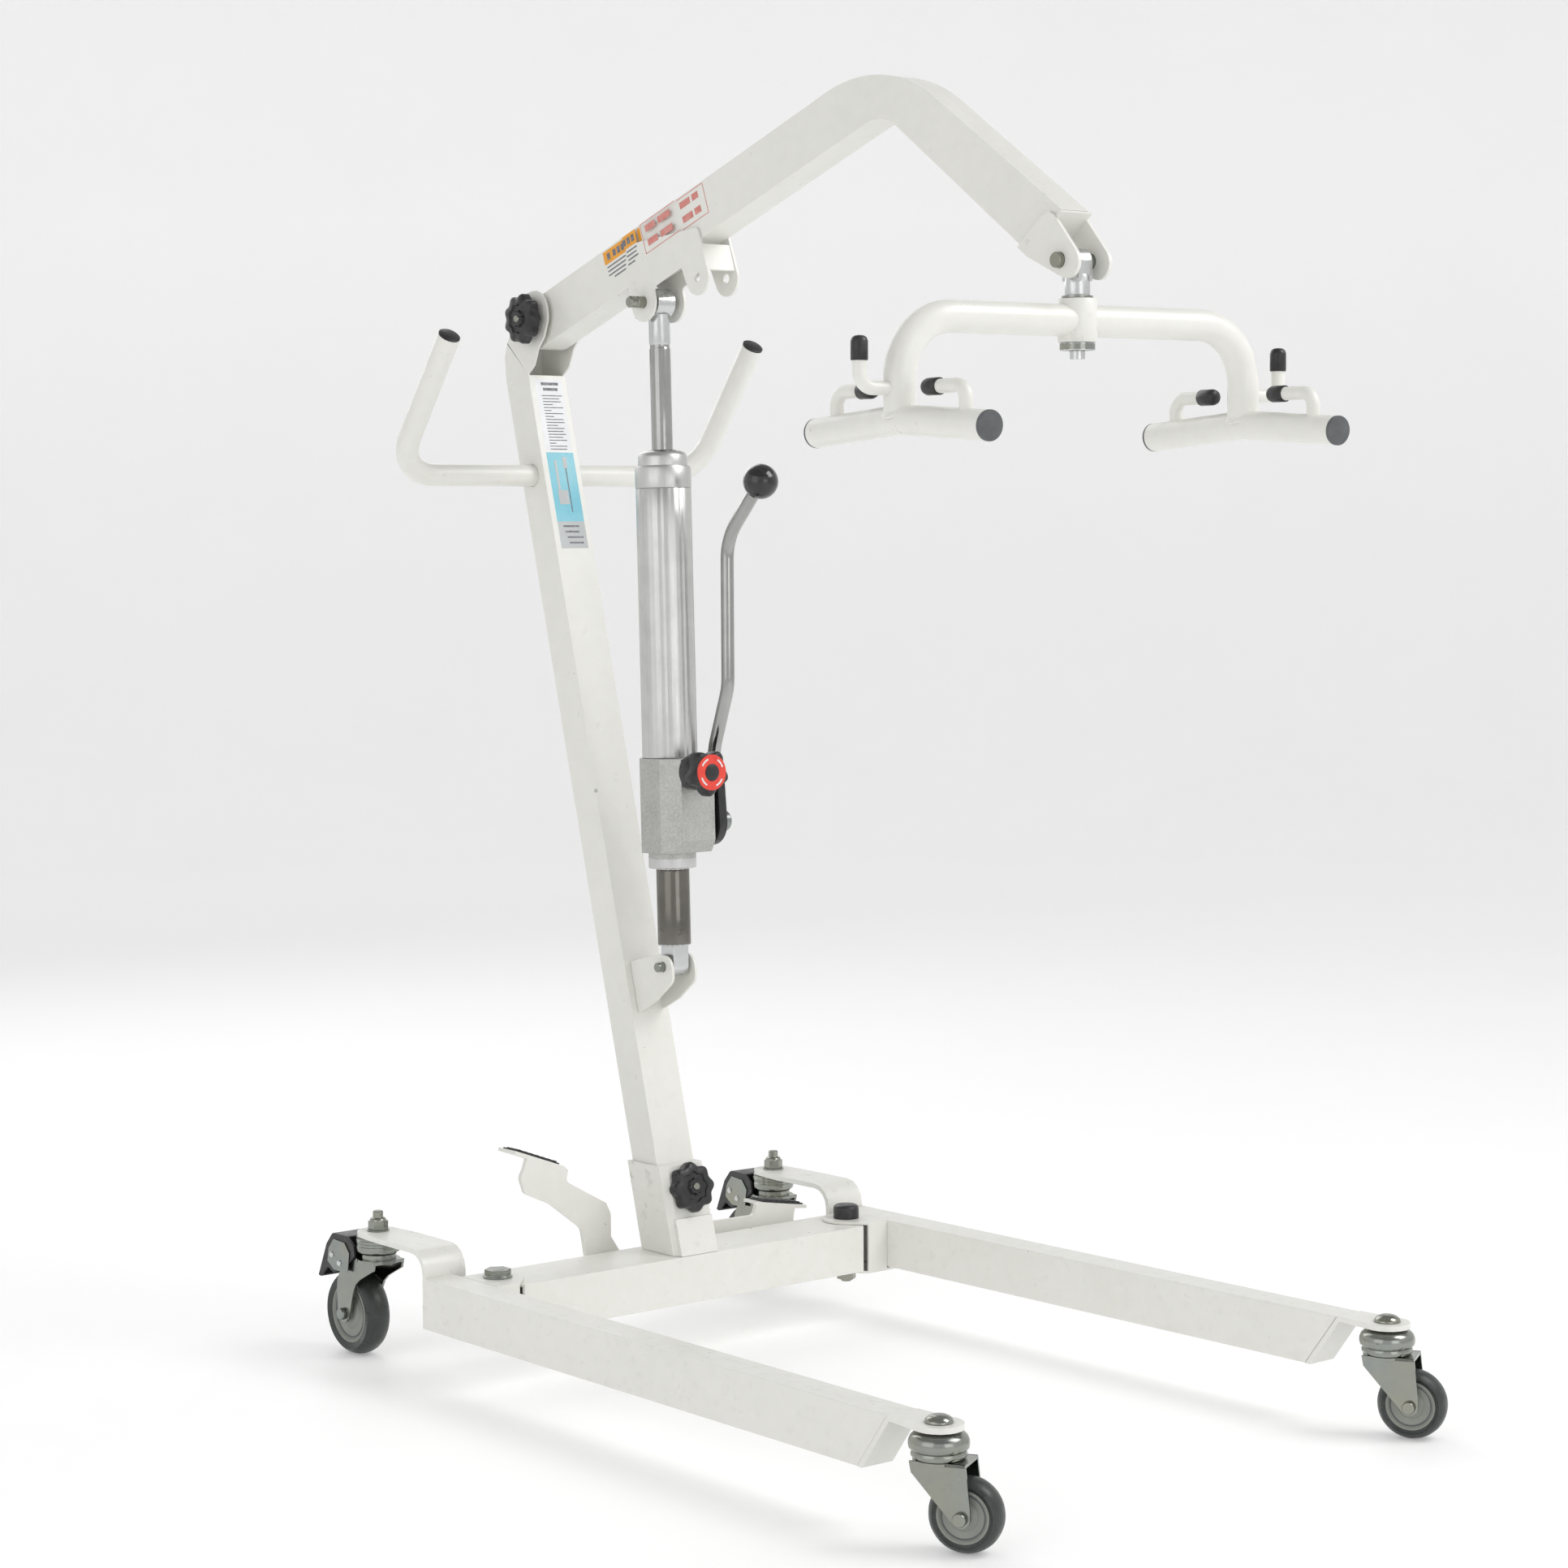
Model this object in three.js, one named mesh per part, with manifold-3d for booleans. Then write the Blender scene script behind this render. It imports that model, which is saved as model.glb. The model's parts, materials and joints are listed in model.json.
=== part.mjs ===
// Patient lift hoist. Millimetres, +Z up, +X towards the leg fronts, +Y towards the left leg.
// The pieces are placed from the crossbeam's centre, and the whole group is shifted at the end.
import * as THREE from 'three';
import { mergeVertices } from 'three/addons/utils/BufferGeometryUtils.js';
import Module from 'manifold-3d';

const wasm = await Module();
wasm.setup();

// ---------- driving dimensions ----------
const X_CENTRE = 292.7;              // middle of the object's length, seen from the crossbeam
const GAP = 0.3;                     // play between pieces that rest on each other
const BEAM = { half: 42.5, low: 64.4, high: 121.6, wall: 3 };
const PIVOT_Y = 266;                 // leg pivots on the crossbeam
const LEG = { inner: 30, outer: 70, low: 65, high: 125, rear: -47, toe: 727.8, heel: 773.8 };
const LEG_SPLAY = 0.84;              // degrees each leg already opens at rest
const FRONT_STEM = { x: 827.8, y: 50 };
const REAR_STEM = { x: -190, y: 42 };
const FRONT_WHEEL = { radius: 38, trail: 28, width: 32, heading: [30, 30] };
const REAR_WHEEL = { radius: 51, trail: 46, width: 32, heading: [180, 176] };
const MAST = { half: 28, slope: 0.2595, front: 21.4, rear: -26.9, foot: 122, wall: 2.6 };
const BOOM_PIVOT = { x: -243.2, z: 1245.6 };
const BOOM = { half: 19.7, wall: 3 };
const PUMP = { x: -3, z: 465, lean: -1.56, radius: 33.5, side: 31.9 };
const UPPER_PIN = { x: -24.5, z: 1255, radius: 7 };
const HANGER = { x: 682.6, pinX: 681, pinZ: 1261 };
const CRADLE = { yaw: -6, half: 226, barZ: 1199.5, tubeZ: 1095, arm: 151, hookZ: 1126 };
const ROCKER = { z: 92, tilt: -15.2, front: -60, back: -66, tieRadius: 20, tieX: -51.5 };
const rad = THREE.MathUtils.degToRad;

// ---------- materials ----------
function finish(colour, roughness, metalness) {
  return new THREE.MeshStandardMaterial({ color: colour, roughness, metalness });
}
const PAINT = finish(0xd6d5ce, 0.42, 0.05);
const ZINC = finish(0xb9bab6, 0.38, 0.9);
const CHROME = finish(0xd9dadb, 0.12, 1);
const ALUMINIUM = finish(0xb4b6b7, 0.45, 0.85);
const STEEL = finish(0x777a7c, 0.3, 0.9);
const BLACK = finish(0x1c1c1d, 0.5, 0);
const TYRE = finish(0x5a5f5c, 0.6, 0);
const HUB = finish(0xb9bbb8, 0.5, 0);

// ---------- outlines and routes ----------
// Corners are [a, b] or [a, b, radius] or Vector3s with a shared radius; arcs replace round corners.
function arcPoints(before, corner, after, radius, stepAngle = 25) {
  const inward = before.clone().sub(corner).normalize();
  const outward = after.clone().sub(corner).normalize();
  const inside = inward.angleTo(outward);
  const turn = Math.PI - inside;
  const start = corner.clone().addScaledVector(inward, radius * Math.tan(turn / 2));
  const end = corner.clone().addScaledVector(outward, radius * Math.tan(turn / 2));
  const middle = inward.clone().add(outward).normalize();
  const centre = corner.clone().addScaledVector(middle, radius / Math.sin(inside / 2));
  const from = start.sub(centre);
  const to = end.sub(centre);
  const steps = Math.max(2, Math.ceil(THREE.MathUtils.radToDeg(turn) / stepAngle));
  const points = [];
  for (let i = 0; i <= steps; i++) {
    const part = (i / steps) * turn;
    const point = centre.clone();
    point.addScaledVector(from, Math.sin(turn - part) / Math.sin(turn));
    point.addScaledVector(to, Math.sin(part) / Math.sin(turn));
    points.push(point);
  }
  return points;
}

function outline(corners) {
  const vectors = corners.map(([a, b]) => new THREE.Vector3(a, b, 0));
  const points = corners.flatMap(([, , radius], i) => {
    const before = vectors.at(i - 1);
    const after = vectors[(i + 1) % vectors.length];
    return radius ? arcPoints(before, vectors[i], after, radius) : [vectors[i]];
  });
  return new THREE.Shape(points.map((p) => new THREE.Vector2(p.x, p.y)));
}

function lobes(count, radius, depth) {
  const points = [];
  const steps = count * 4;
  for (let i = 0; i < steps; i++) {
    const angle = (i / steps) * Math.PI * 2;
    const reach = radius - depth * (0.5 - 0.5 * Math.cos(count * angle));
    points.push([reach * Math.cos(angle), reach * Math.sin(angle)]);
  }
  return points;
}

// A path that steps exactly through its stations, with round bends between straight runs.
class Route extends THREE.Curve {
  constructor(corners, bend) {
    super();
    this.stations = corners.flatMap((corner, i) => (i === 0 || i === corners.length - 1
      ? [corner] : arcPoints(corners[i - 1], corner, corners[i + 1], bend, 22)));
  }

  getPoint(t) {
    const place = t * (this.stations.length - 1);
    const i = Math.min(Math.floor(place), this.stations.length - 2);
    return this.stations[i].clone().lerp(this.stations[i + 1], place - i);
  }

  getPointAt(u) {
    return this.getPoint(u);
  }

  getTangentAt(u) {
    const i = Math.round(u * (this.stations.length - 1));
    const before = this.stations[Math.max(i - 1, 0)];
    const here = this.stations[i];
    const after = this.stations[Math.min(i + 1, this.stations.length - 1)];
    const arriving = here.clone().sub(before).normalize();
    const leaving = after.clone().sub(here).normalize();
    return arriving.add(leaving).normalize();
  }
}

// ---------- solids ----------
function solid(geometry) {
  const bare = geometry.clone();
  bare.deleteAttribute('normal');
  bare.deleteAttribute('uv');
  const merged = mergeVertices(bare, 1e-4);
  return new wasm.Manifold(new wasm.Mesh({
    numProp: 3,
    vertProperties: merged.attributes.position.array,
    triVerts: Uint32Array.from(merged.index.array),
  }));
}

function extruded(shape, low, high, matrix) {
  const geometry = new THREE.ExtrudeGeometry(shape, { depth: high - low, bevelEnabled: false, steps: 1 });
  geometry.translate(0, 0, low);
  return solid(geometry.applyMatrix4(matrix));
}

const axes = (a, b, c) => new THREE.Matrix4().makeBasis(a, b, c);
const AXIS = { x: new THREE.Vector3(1, 0, 0), y: new THREE.Vector3(0, 1, 0), z: new THREE.Vector3(0, 0, 1) };
const asShape = (drawing) => (drawing instanceof THREE.Shape ? drawing : outline(drawing));
const plateX = (drawing, low, high) => extruded(asShape(drawing), low, high, axes(AXIS.y, AXIS.z, AXIS.x));
const plateZ = (drawing, low, high) => extruded(asShape(drawing), low, high, new THREE.Matrix4());
const plateY = (drawing, low, high) => extruded(
  asShape(drawing), -high, -low, axes(AXIS.x, AXIS.z, AXIS.y.clone().negate()),
);

function block(x, y, z) {
  const geometry = new THREE.BoxGeometry(x[1] - x[0], y[1] - y[0], z[1] - z[0]);
  return solid(geometry.translate((x[0] + x[1]) / 2, (y[0] + y[1]) / 2, (z[0] + z[1]) / 2));
}

const at = (x, y, z) => new THREE.Vector3(x, y, z);

function cylinder(radius, from, to, sides = 16) {
  const along = to.clone().sub(from);
  const geometry = new THREE.CylinderGeometry(radius, radius, along.length(), sides);
  const turn = new THREE.Quaternion().setFromUnitVectors(AXIS.y, along.clone().normalize());
  geometry.applyQuaternion(turn);
  const middle = from.clone().add(to).multiplyScalar(0.5);
  return solid(geometry.translate(middle.x, middle.y, middle.z));
}

// A turned piece: [radius, distance along the axis] pairs, from the foot to the head.
function turned(profile, foot, axis, sides = 16) {
  const geometry = new THREE.LatheGeometry(profile.map(([r, h]) => new THREE.Vector2(r, h)), sides);
  geometry.applyQuaternion(new THREE.Quaternion().setFromUnitVectors(AXIS.y, axis));
  return solid(geometry.translate(foot.x, foot.y, foot.z));
}

function tube(corners, bend, radius, bore = 0, sides = 12) {
  const route = new Route(corners, bend);
  const shape = new THREE.Shape().absarc(0, 0, radius, 0, Math.PI * 2);
  if (bore) {
    shape.holes.push(new THREE.Path().absarc(0, 0, bore, 0, Math.PI * 2, true));
  }
  return solid(new THREE.ExtrudeGeometry(shape, {
    steps: route.stations.length - 1, curveSegments: sides / 2, extrudePath: route, bevelEnabled: false,
  }));
}

const joined = (first, ...others) => others.reduce((sum, other) => sum.add(other), first);
const cut = (first, ...others) => others.reduce((rest, other) => rest.subtract(other), first);

function piece(name, shape, material, parent) {
  const data = shape.getMesh();
  const geometry = new THREE.BufferGeometry();
  geometry.setAttribute('position', new THREE.BufferAttribute(data.vertProperties, 3));
  geometry.setIndex(new THREE.BufferAttribute(data.triVerts, 1));
  geometry.computeVertexNormals();
  const mesh = new THREE.Mesh(geometry, material);
  mesh.name = name;
  parent.add(mesh);
  return mesh;
}

// ---------- base ----------
function crossbeam(parent) {
  const { half, low, high, wall } = BEAM;
  const plan = [[half, -258], [half, 258], [0, 284], [-half, 270], [-half, -270], [0, -284]];
  const hollow = block([-half + wall, half - wall], [-300, 300], [low + wall, high - wall]);
  const holes = [1, -1].map((side) => cylinder(6.6, at(0, side * PIVOT_Y, 50), at(0, side * PIVOT_Y, 140)));
  piece('crossbeam', cut(plateZ(plan, low, high), hollow, ...holes), PAINT, parent);
}

// The socket and the mast lean back together: heights stay level and X slides back with Z.
function leaning(shape, low, high) {
  const shear = new THREE.Matrix4().makeShear(0, 0, 0, 0, -MAST.slope, 0);
  const shift = new THREE.Matrix4().makeTranslation(MAST.slope * MAST.foot, 0, 0);
  return extruded(shape, low, high, shift.multiply(shear));
}

const mastFront = (z) => MAST.front - MAST.slope * (z - MAST.foot);
const mastRear = (z) => MAST.rear - MAST.slope * (z - MAST.foot);
const SOCKET_FACE = 38;
const KNOB_AXIS = at(1, 0, MAST.slope).normalize();
const socketKnobCentre = () => at(SOCKET_FACE - MAST.slope * (199 - MAST.foot), 0, 199);

function mastSocket(parent) {
  const plan = [[-30.6, -33], [31, -33], [SOCKET_FACE, -25], [SOCKET_FACE, 25], [31, 33], [-30.6, 33]];
  const well = [[-27.3, -28.4], [21.8, -28.4], [21.8, 28.4], [-27.3, 28.4]];
  const gusset = plateY([[25, 165], [36, 122], [41.5, 122], [29.6, 165]], -27.5, 27.5);
  const knob = socketKnobCentre();
  const along = (distance) => knob.clone().addScaledVector(KNOB_AXIS, distance);
  const screw = cylinder(5.6, along(-40), along(9));
  const body = joined(leaning(outline(plan), MAST.foot, 226), gusset);
  piece('mast_socket', cut(body, leaning(outline(well), MAST.foot - 5, 240), screw), PAINT, parent);
}

function socketKnob(parent) {
  const grip = extruded(outline(lobes(8, 30.5, 4)), 0.4, 16.4, new THREE.Matrix4());
  const shaft = cylinder(5, at(0, 0, -15.6), at(0, 0, 10), 12);
  const hub = cylinder(11, at(0, 0, 10), at(0, 0, 18), 16);
  const mesh = piece('socket_knob', joined(grip, shaft, hub), BLACK, parent);
  mesh.quaternion.setFromUnitVectors(AXIS.z, KNOB_AXIS);
  mesh.position.copy(socketKnobCentre());
}

function pivotBolt(name, side, head, parent) {
  const shaft = cylinder(6, at(0, 0, 50), at(0, 0, 130), 16);
  const nut = cylinder(12.2, at(0, 0, 48), at(0, 0, 60.6), 6);
  const cap = cylinder(head.radius, at(0, 0, 125.4), at(0, 0, head.top), head.sides);
  const mesh = piece(name, joined(shaft, nut, cap), ZINC, parent);
  mesh.position.set(0, side * PIVOT_Y, 0);
}

function rockerBolt(parent) {
  const profile = [[0, 0.3], [10, 0.3], [10, 17.2], [6, 17.2], [6, 24], [11, 24], [11, 31], [0, 31]];
  piece('rocker_bolt', turned(profile, at(-BEAM.half, 0, ROCKER.z), AXIS.x.clone().negate(), 18), ZINC, parent);
}

// ---------- legs ----------
const mirrored = (side, low, high) => (side > 0 ? [low, high] : [-high, -low]);
const flip = (side, corners) => corners.map(([x, y, radius]) => [x, y * side, radius]);
const flat = (side, corners, low, high) => plateZ(flip(side, corners), low, high);

function legTube(name, side, parent) {
  const { inner, outer, low, high, rear, toe, heel } = LEG;
  const [y0, y1] = mirrored(side, inner, outer);
  const profile = [[rear, low], [toe, low], [heel, high], [rear, high]];
  const hollow = block([rear - 5, heel + 5], [y0 + 2.5, y1 - 2.5], [low + 2.5, high - 2.5]);
  piece(name, cut(plateY(profile, y0, y1), hollow), PAINT, parent);
}

function legBracket(name, side, parent) {
  const reach = LEG.inner - GAP;
  const ear = (edge) => [[-30, 0], [-30, edge], [43.5, edge], [43.5, -1], [20, -22.4]];
  const round = (low, high) => cylinder(30, at(0, 0, low), at(0, 0, high), 20);
  const top = joined(flat(side, ear(reach), 122, 125), round(122, 125));
  const bottom = joined(flat(side, ear(50), 61, 64), round(61, 64));
  const web = flat(side, [[40.5, -1], [43.5, -1], [43.5, reach], [40.5, reach]], 62, 124);
  const bolt = cylinder(6.6, at(0, 0, 50), at(0, 0, 140));
  piece(name, cut(joined(top, bottom, web), bolt), PAINT, parent);
}

function rearPlate(name, side, parent) {
  const front = LEG.rear - GAP;
  const profile = [[front, 65], [front, 156, 28], [-230, 156], [-230, 150], [front - 6, 150, 22],
    [front - 6, 65]];
  const plan = [[-40, 13], [-40, 69], [-150, 69], [REAR_STEM.x, 67], [REAR_STEM.x, 17], [-150, 13]];
  const onStem = (z) => at(REAR_STEM.x, side * REAR_STEM.y, z);
  const end = cylinder(25, onStem(60), onStem(160), 20);
  const bent = plateY(profile, ...mirrored(side, 10, 72)).intersect(joined(flat(side, plan, 60, 160), end));
  const lugZ = side > 0 ? 102 : 77;
  const lug = flat(side, [[-58, -6.5, 5], [-45, -6.5, 5], [-47.5, 15], [-52.5, 15]], lugZ, lugZ + 4);
  const stem = cylinder(7.6, onStem(140), onStem(170));
  const pin = cylinder(4.8, at(ROCKER.tieX, 0, 60), at(ROCKER.tieX, 0, 140), 16);
  piece(name, cut(joined(bent, lug), stem, pin), PAINT, parent);
}

function frontPlate(name, side, parent) {
  const { x, y } = FRONT_STEM;
  const profile = [[LEG.toe + 0.4, 65], [LEG.toe + 8, 65], [LEG.heel + 3, 119.5], [x + 30, 119.5],
    [x + 30, 125.5], [LEG.heel + 0.8, 125.5]];
  const plan = [[700, y - 20], [LEG.heel + 8, y - 20], [x, y - 25], [x, y + 25], [LEG.heel + 8, y + 20],
    [700, y + 20]];
  const end = cylinder(25, at(x, side * y, 60), at(x, side * y, 130), 20);
  const bent = plateY(profile, ...mirrored(side, 20, 80)).intersect(joined(flat(side, plan, 60, 130), end));
  piece(name, cut(bent, cylinder(8.4, at(x, side * y, 110), at(x, side * y, 130))), PAINT, parent);
}

// ---------- casters ----------
function frontFork(name, parent) {
  const { trail, radius } = FRONT_WHEEL;
  const cheek = joined(
    plateY([[-21, 92], [-16, 76], [19, 31, 9], [38, 36, 9], [24, 92]], -21.5, 21.5),
    cylinder(9.5, at(trail, -21.5, radius), at(trail, 21.5, radius)),
  );
  const inside = block([-60, 60], [-18.5, 18.5], [0, 87]);
  const crown = joined(
    cylinder(30.2, at(0, 0, 98), at(0, 0, 117.6), 20),
    cylinder(25, at(0, 0, 90), at(0, 0, 99), 24),
    cylinder(30.5, at(0, 0, 87), at(0, 0, 91), 20),
  );
  const holes = [
    cylinder(9, at(0, 0, 80), at(0, 0, 120)),
    cylinder(4.4, at(trail, -30, radius), at(trail, 30, radius)),
  ];
  return piece(name, cut(joined(crown, cut(cheek, inside)), ...holes), ZINC, parent);
}

const BRAKE_PIN = { x: 45.5, z: 113 };

function rearFork(name, parent) {
  const { trail, radius } = REAR_WHEEL;
  const cheek = joined(
    plateY([[-23, 123], [-20, 112], [20, 92, 30], [34, 46], [57, 46], [60, 92, 30], [34, 123]], -21.5, 21.5),
    cylinder(11, at(trail, -21.5, radius), at(trail, 21.5, radius)),
  );
  const inside = block([-60, 90], [-18.5, 18.5], [0, 119]);
  const crown = joined(
    cylinder(26, at(0, 0, 133), at(0, 0, 149.2), 20),
    cylinder(21, at(0, 0, 122), at(0, 0, 134), 24),
    cylinder(26, at(0, 0, 119), at(0, 0, 123), 20),
  );
  const holes = [
    cylinder(8, at(0, 0, 110), at(0, 0, 150)),
    cylinder(4.4, at(trail, -30, radius), at(trail, 30, radius)),
    cylinder(3.4, at(BRAKE_PIN.x, -30, BRAKE_PIN.z), at(BRAKE_PIN.x, 30, BRAKE_PIN.z), 12),
  ];
  return piece(name, cut(joined(crown, cut(cheek, inside)), ...holes), ZINC, parent);
}

function brakePedal(name, parent) {
  const shell = [[14, 126], [16, 138], [29, 147.5], [62, 147.5, 8], [76, 132], [94.5, 91], [89, 90],
    [74, 104], [62, 99], [40, 105]];
  const inside = [[-10, 60], [-10, 144], [60, 144, 6], [70, 131], [87, 98], [84, 60]];
  const mouth = block([0, 28], [-22.4, 22.4], [100, 160]);
  const pin = cylinder(3.1, at(BRAKE_PIN.x, -26, BRAKE_PIN.z), at(BRAKE_PIN.x, 26, BRAKE_PIN.z), 12);
  const cover = cut(plateY(shell, -25, 25), plateY(inside, -22.4, 22.4), mouth);
  return piece(name, joined(cover, pin), BLACK, parent);
}

function wheel(prefix, size, parent) {
  const axle = joined(
    cylinder(4, at(0, -25, 0), at(0, 25, 0), 14),
    cylinder(7, at(0, -27, 0), at(0, -21.9, 0), 6),
    cylinder(7, at(0, 21.9, 0), at(0, 27, 0), 6),
  );
  const rim = size.radius * 0.7;
  const side = size.width / 2;
  const hub = [[4.5, -15], [10, -15], [12, -12], [rim, -14], [rim, 14], [12, 12], [10, 15], [4.5, 15],
    [4.5, -15]];
  const tyre = [[rim + GAP, -side], [size.radius - 7, -side], [size.radius - 1.5, -side + 6],
    [size.radius, 0], [size.radius - 1.5, side - 6], [size.radius - 7, side], [rim + GAP, side],
    [rim + GAP, -side]];
  const pieces = [
    piece(`${prefix}_axle`, axle, ZINC, parent),
    piece(`${prefix}_hub`, turned(hub, at(0, 0, 0), AXIS.y, 24), HUB, parent),
    piece(`${prefix}_tyre`, turned(tyre, at(0, 0, 0), AXIS.y, 24), TYRE, parent),
  ];
  pieces.forEach((mesh) => mesh.position.set(size.trail, 0, size.radius));
}

function caster(prefix, stem, size, heading, side, parent) {
  const swivel = new THREE.Group();
  swivel.position.set(stem.x, side * stem.y, 0);
  swivel.rotation.z = rad(heading) - parent.rotation.z;
  parent.add(swivel);
  const isRear = size === REAR_WHEEL;
  (isRear ? rearFork : frontFork)(`${prefix}_fork`, swivel);
  wheel(prefix, size, swivel);
  if (isRear) {
    brakePedal(`${prefix}_brake`, swivel);
  }
  const profile = isRear
    ? [[0, 124], [7, 124], [7, 149.4], [11, 149.4], [11, 149.8], [7, 149.8], [7, 156.4], [12, 156.4],
      [12, 180], [0, 180]]
    : [[0, 92], [8, 92], [8, 117.9], [14, 117.9], [14, 119.2], [8, 119.2], [8, 125.9], [14.5, 125.9],
      [14, 129], [9, 132.6], [0, 133.6]];
  const mesh = piece(`${prefix}_stem`, turned(profile, at(0, 0, 0), AXIS.z, isRear ? 18 : 20), ZINC, parent);
  mesh.position.copy(swivel.position);
}

function leg(word, side, parent) {
  const frame = new THREE.Group();
  frame.position.set(0, side * PIVOT_Y, 0);
  frame.rotation.z = side * rad(LEG_SPLAY);
  parent.add(frame);
  legTube(`${word}_leg_tube`, side, frame);
  legBracket(`${word}_leg_bracket`, side, frame);
  rearPlate(`${word}_rear_plate`, side, frame);
  frontPlate(`${word}_front_plate`, side, frame);
  const pick = side > 0 ? 1 : 0;
  caster(`${word}_front`, FRONT_STEM, FRONT_WHEEL, FRONT_WHEEL.heading[pick], side, frame);
  caster(`${word}_rear`, REAR_STEM, REAR_WHEEL, REAR_WHEEL.heading[pick], side, frame);
}

// ---------- pedals that open the legs ----------
function rocker(parent) {
  const arm = [[0, -24], [0, 16], [-30, 0], [-49.9, 12.6], [-66.3, 26.8], [-73.6, 53.8, 14],
    [-84.1, 65.5, 4], [-149.7, 82, 6], [-150.4, 95.8], [-157.7, 99.7], [-232, 106.7], [-232.5, 102.8],
    [-213.8, 100.1], [-214.5, 87.9], [-217.4, 76.1, 8], [-205.8, 59.1, 8], [-165.3, 52.1],
    [-112.1, 30.3, 12], [-97.4, -1.3], [-88, -18, 8], [-70, -24]];
  const pad = [[-157.7, 99.7], [-232, 106.7], [-232.4, 102.7], [-158, 95.7]];
  const turnOver = (corners) => corners.map(([y, z, radius]) => [-y, z, radius]).reverse();
  const { front, back, tieRadius } = ROCKER;
  const hub = cylinder(24, at(back, 0, 0), at(front, 0, 0), 24);
  const ties = [tieRadius, -tieRadius].map((z) => cylinder(9, at(back, 0, z), at(front, 0, z), 18));
  const arms = [arm, turnOver(arm)].map((corners) => plateX(corners, back, front));
  const pads = [pad, turnOver(pad)].map((corners) => plateX(corners, -95, front));
  const holes = [[6.7, 0], [4.7, tieRadius], [4.7, -tieRadius]].map(([radius, z]) => (
    cylinder(radius, at(-80, 0, z), at(-50, 0, z), 16)));
  const mesh = piece('rocker_plate', cut(joined(hub, ...ties, ...arms, ...pads), ...holes), PAINT, parent);
  mesh.rotation.x = rad(ROCKER.tilt);
  mesh.position.z = ROCKER.z;
}

function tieRod(name, side, parent) {
  const swing = rad(ROCKER.tilt);
  const y = side * -ROCKER.tieRadius * Math.sin(swing);
  const z = ROCKER.z + side * ROCKER.tieRadius * Math.cos(swing);
  const end = side * (PIVOT_Y + ROCKER.tieX * Math.sin(rad(LEG_SPLAY)));
  const corners = [
    at(-69, y, z), at(ROCKER.tieX, y, z), at(ROCKER.tieX, end, z), at(ROCKER.tieX, end, z - side * 13),
  ];
  piece(name, tube(corners, 5, 3.5, 0, 10), ZINC, parent);
}

// ---------- mast ----------
function mastTube(parent) {
  const { half, foot, wall } = MAST;
  const { x, z } = BOOM_PIVOT;
  const profile = [[mastRear(foot), foot], [mastFront(foot), foot], [mastFront(1179), 1179],
    [-240, 1189, 8], [-231, 1210], [x + 24, z - 23], [x + 33.5, z, 20], [x + 26, z + 40, 26],
    [x - 22, z + 30, 20], [-297, 1218, 14], [-302.5, 1202], [mastRear(1170), 1170]];
  const inside = [[mastRear(100) + 3, 100], [mastFront(100) - 3, 100], [mastFront(1178) - 3, 1178],
    [-150, 1178], [-150, 1340], [-340, 1340], [-340, 1226], [-291, 1226], [-299, 1203],
    [mastRear(1170) + 3, 1170]];
  const handle = cylinder(13.9, at(-247, -40, 1054), at(-247, 40, 1054));
  const bolt = cylinder(6.6, at(x, -40, z), at(x, 40, z), 20);
  const shell = cut(plateY(profile, -half, half), plateY(inside, wall - half, half - wall), handle, bolt);
  piece('mast_tube', shell, PAINT, parent);
}

function handleBar(parent) {
  const corners = [[-128, -229, 1216], [-247, -229, 1054], [-247, 229, 1054], [-128, 229, 1216]];
  piece('handle_bar', tube(corners.map((c) => at(...c)), 55, 13.5, 11.3), PAINT, parent);
}

function lowerPumpBracket(parent) {
  const face = (z, inset) => mastFront(z) + 0.4 + inset;
  const cheek = [[face(466, 0), 466], [-10.6, 479], [13, 479, 16], [17, 449, 14], [-17, 422.5],
    [face(405, 0), 405]];
  const inside = [[face(490, 3.5), 490], [40, 500], [40, 390], [face(390, 3.5), 390]];
  const pin = cylinder(6.1, at(PUMP.x, -30, PUMP.z), at(PUMP.x, 30, PUMP.z), 18);
  piece('lower_pump_bracket', cut(plateY(cheek, -19, 19), plateY(inside, -15.5, 15.5), pin), PAINT, parent);
  piece('lower_pump_pin', cylinder(5.8, at(PUMP.x, -28, PUMP.z), at(PUMP.x, 24, PUMP.z), 18), ZINC, parent);
}

// ---------- boom ----------
function boomProfile(inset, past) {
  const rise = Math.tan(rad(19.65));
  const start = BOOM_PIVOT.x + inset - 29.5;
  const upper = (x) => 1276.6 - inset + (x + 231.8) * rise;
  const lower = (x) => 1218.6 + inset + (x + 213.6) * rise;
  const nose = { x: 655 + 0.816 * past, z: 1292 - 0.578 * past };
  const reach = 32 - inset;
  return [[start + 10, lower(start + 10), 29 - inset], [400, lower(400) + inset * 0.1, 55 + inset],
    [nose.x - reach * 0.75, nose.z - reach * 0.66], [nose.x + reach * 0.75, nose.z + reach * 0.66],
    [402, upper(402), 200 - inset], [start - 10, upper(start - 10), 29 - inset]];
}

function boomTube(parent) {
  const { half, wall } = BOOM;
  const { x, z } = BOOM_PIVOT;
  const bolt = cylinder(6.6, at(x, -40, z), at(x, 40, z), 20);
  const outer = plateY(boomProfile(0, 0), -half, half);
  const hollow = plateY(boomProfile(wall, 20), wall - half, half - wall);
  piece('boom_tube', cut(outer, hollow, bolt), PAINT, parent);
}

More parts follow.
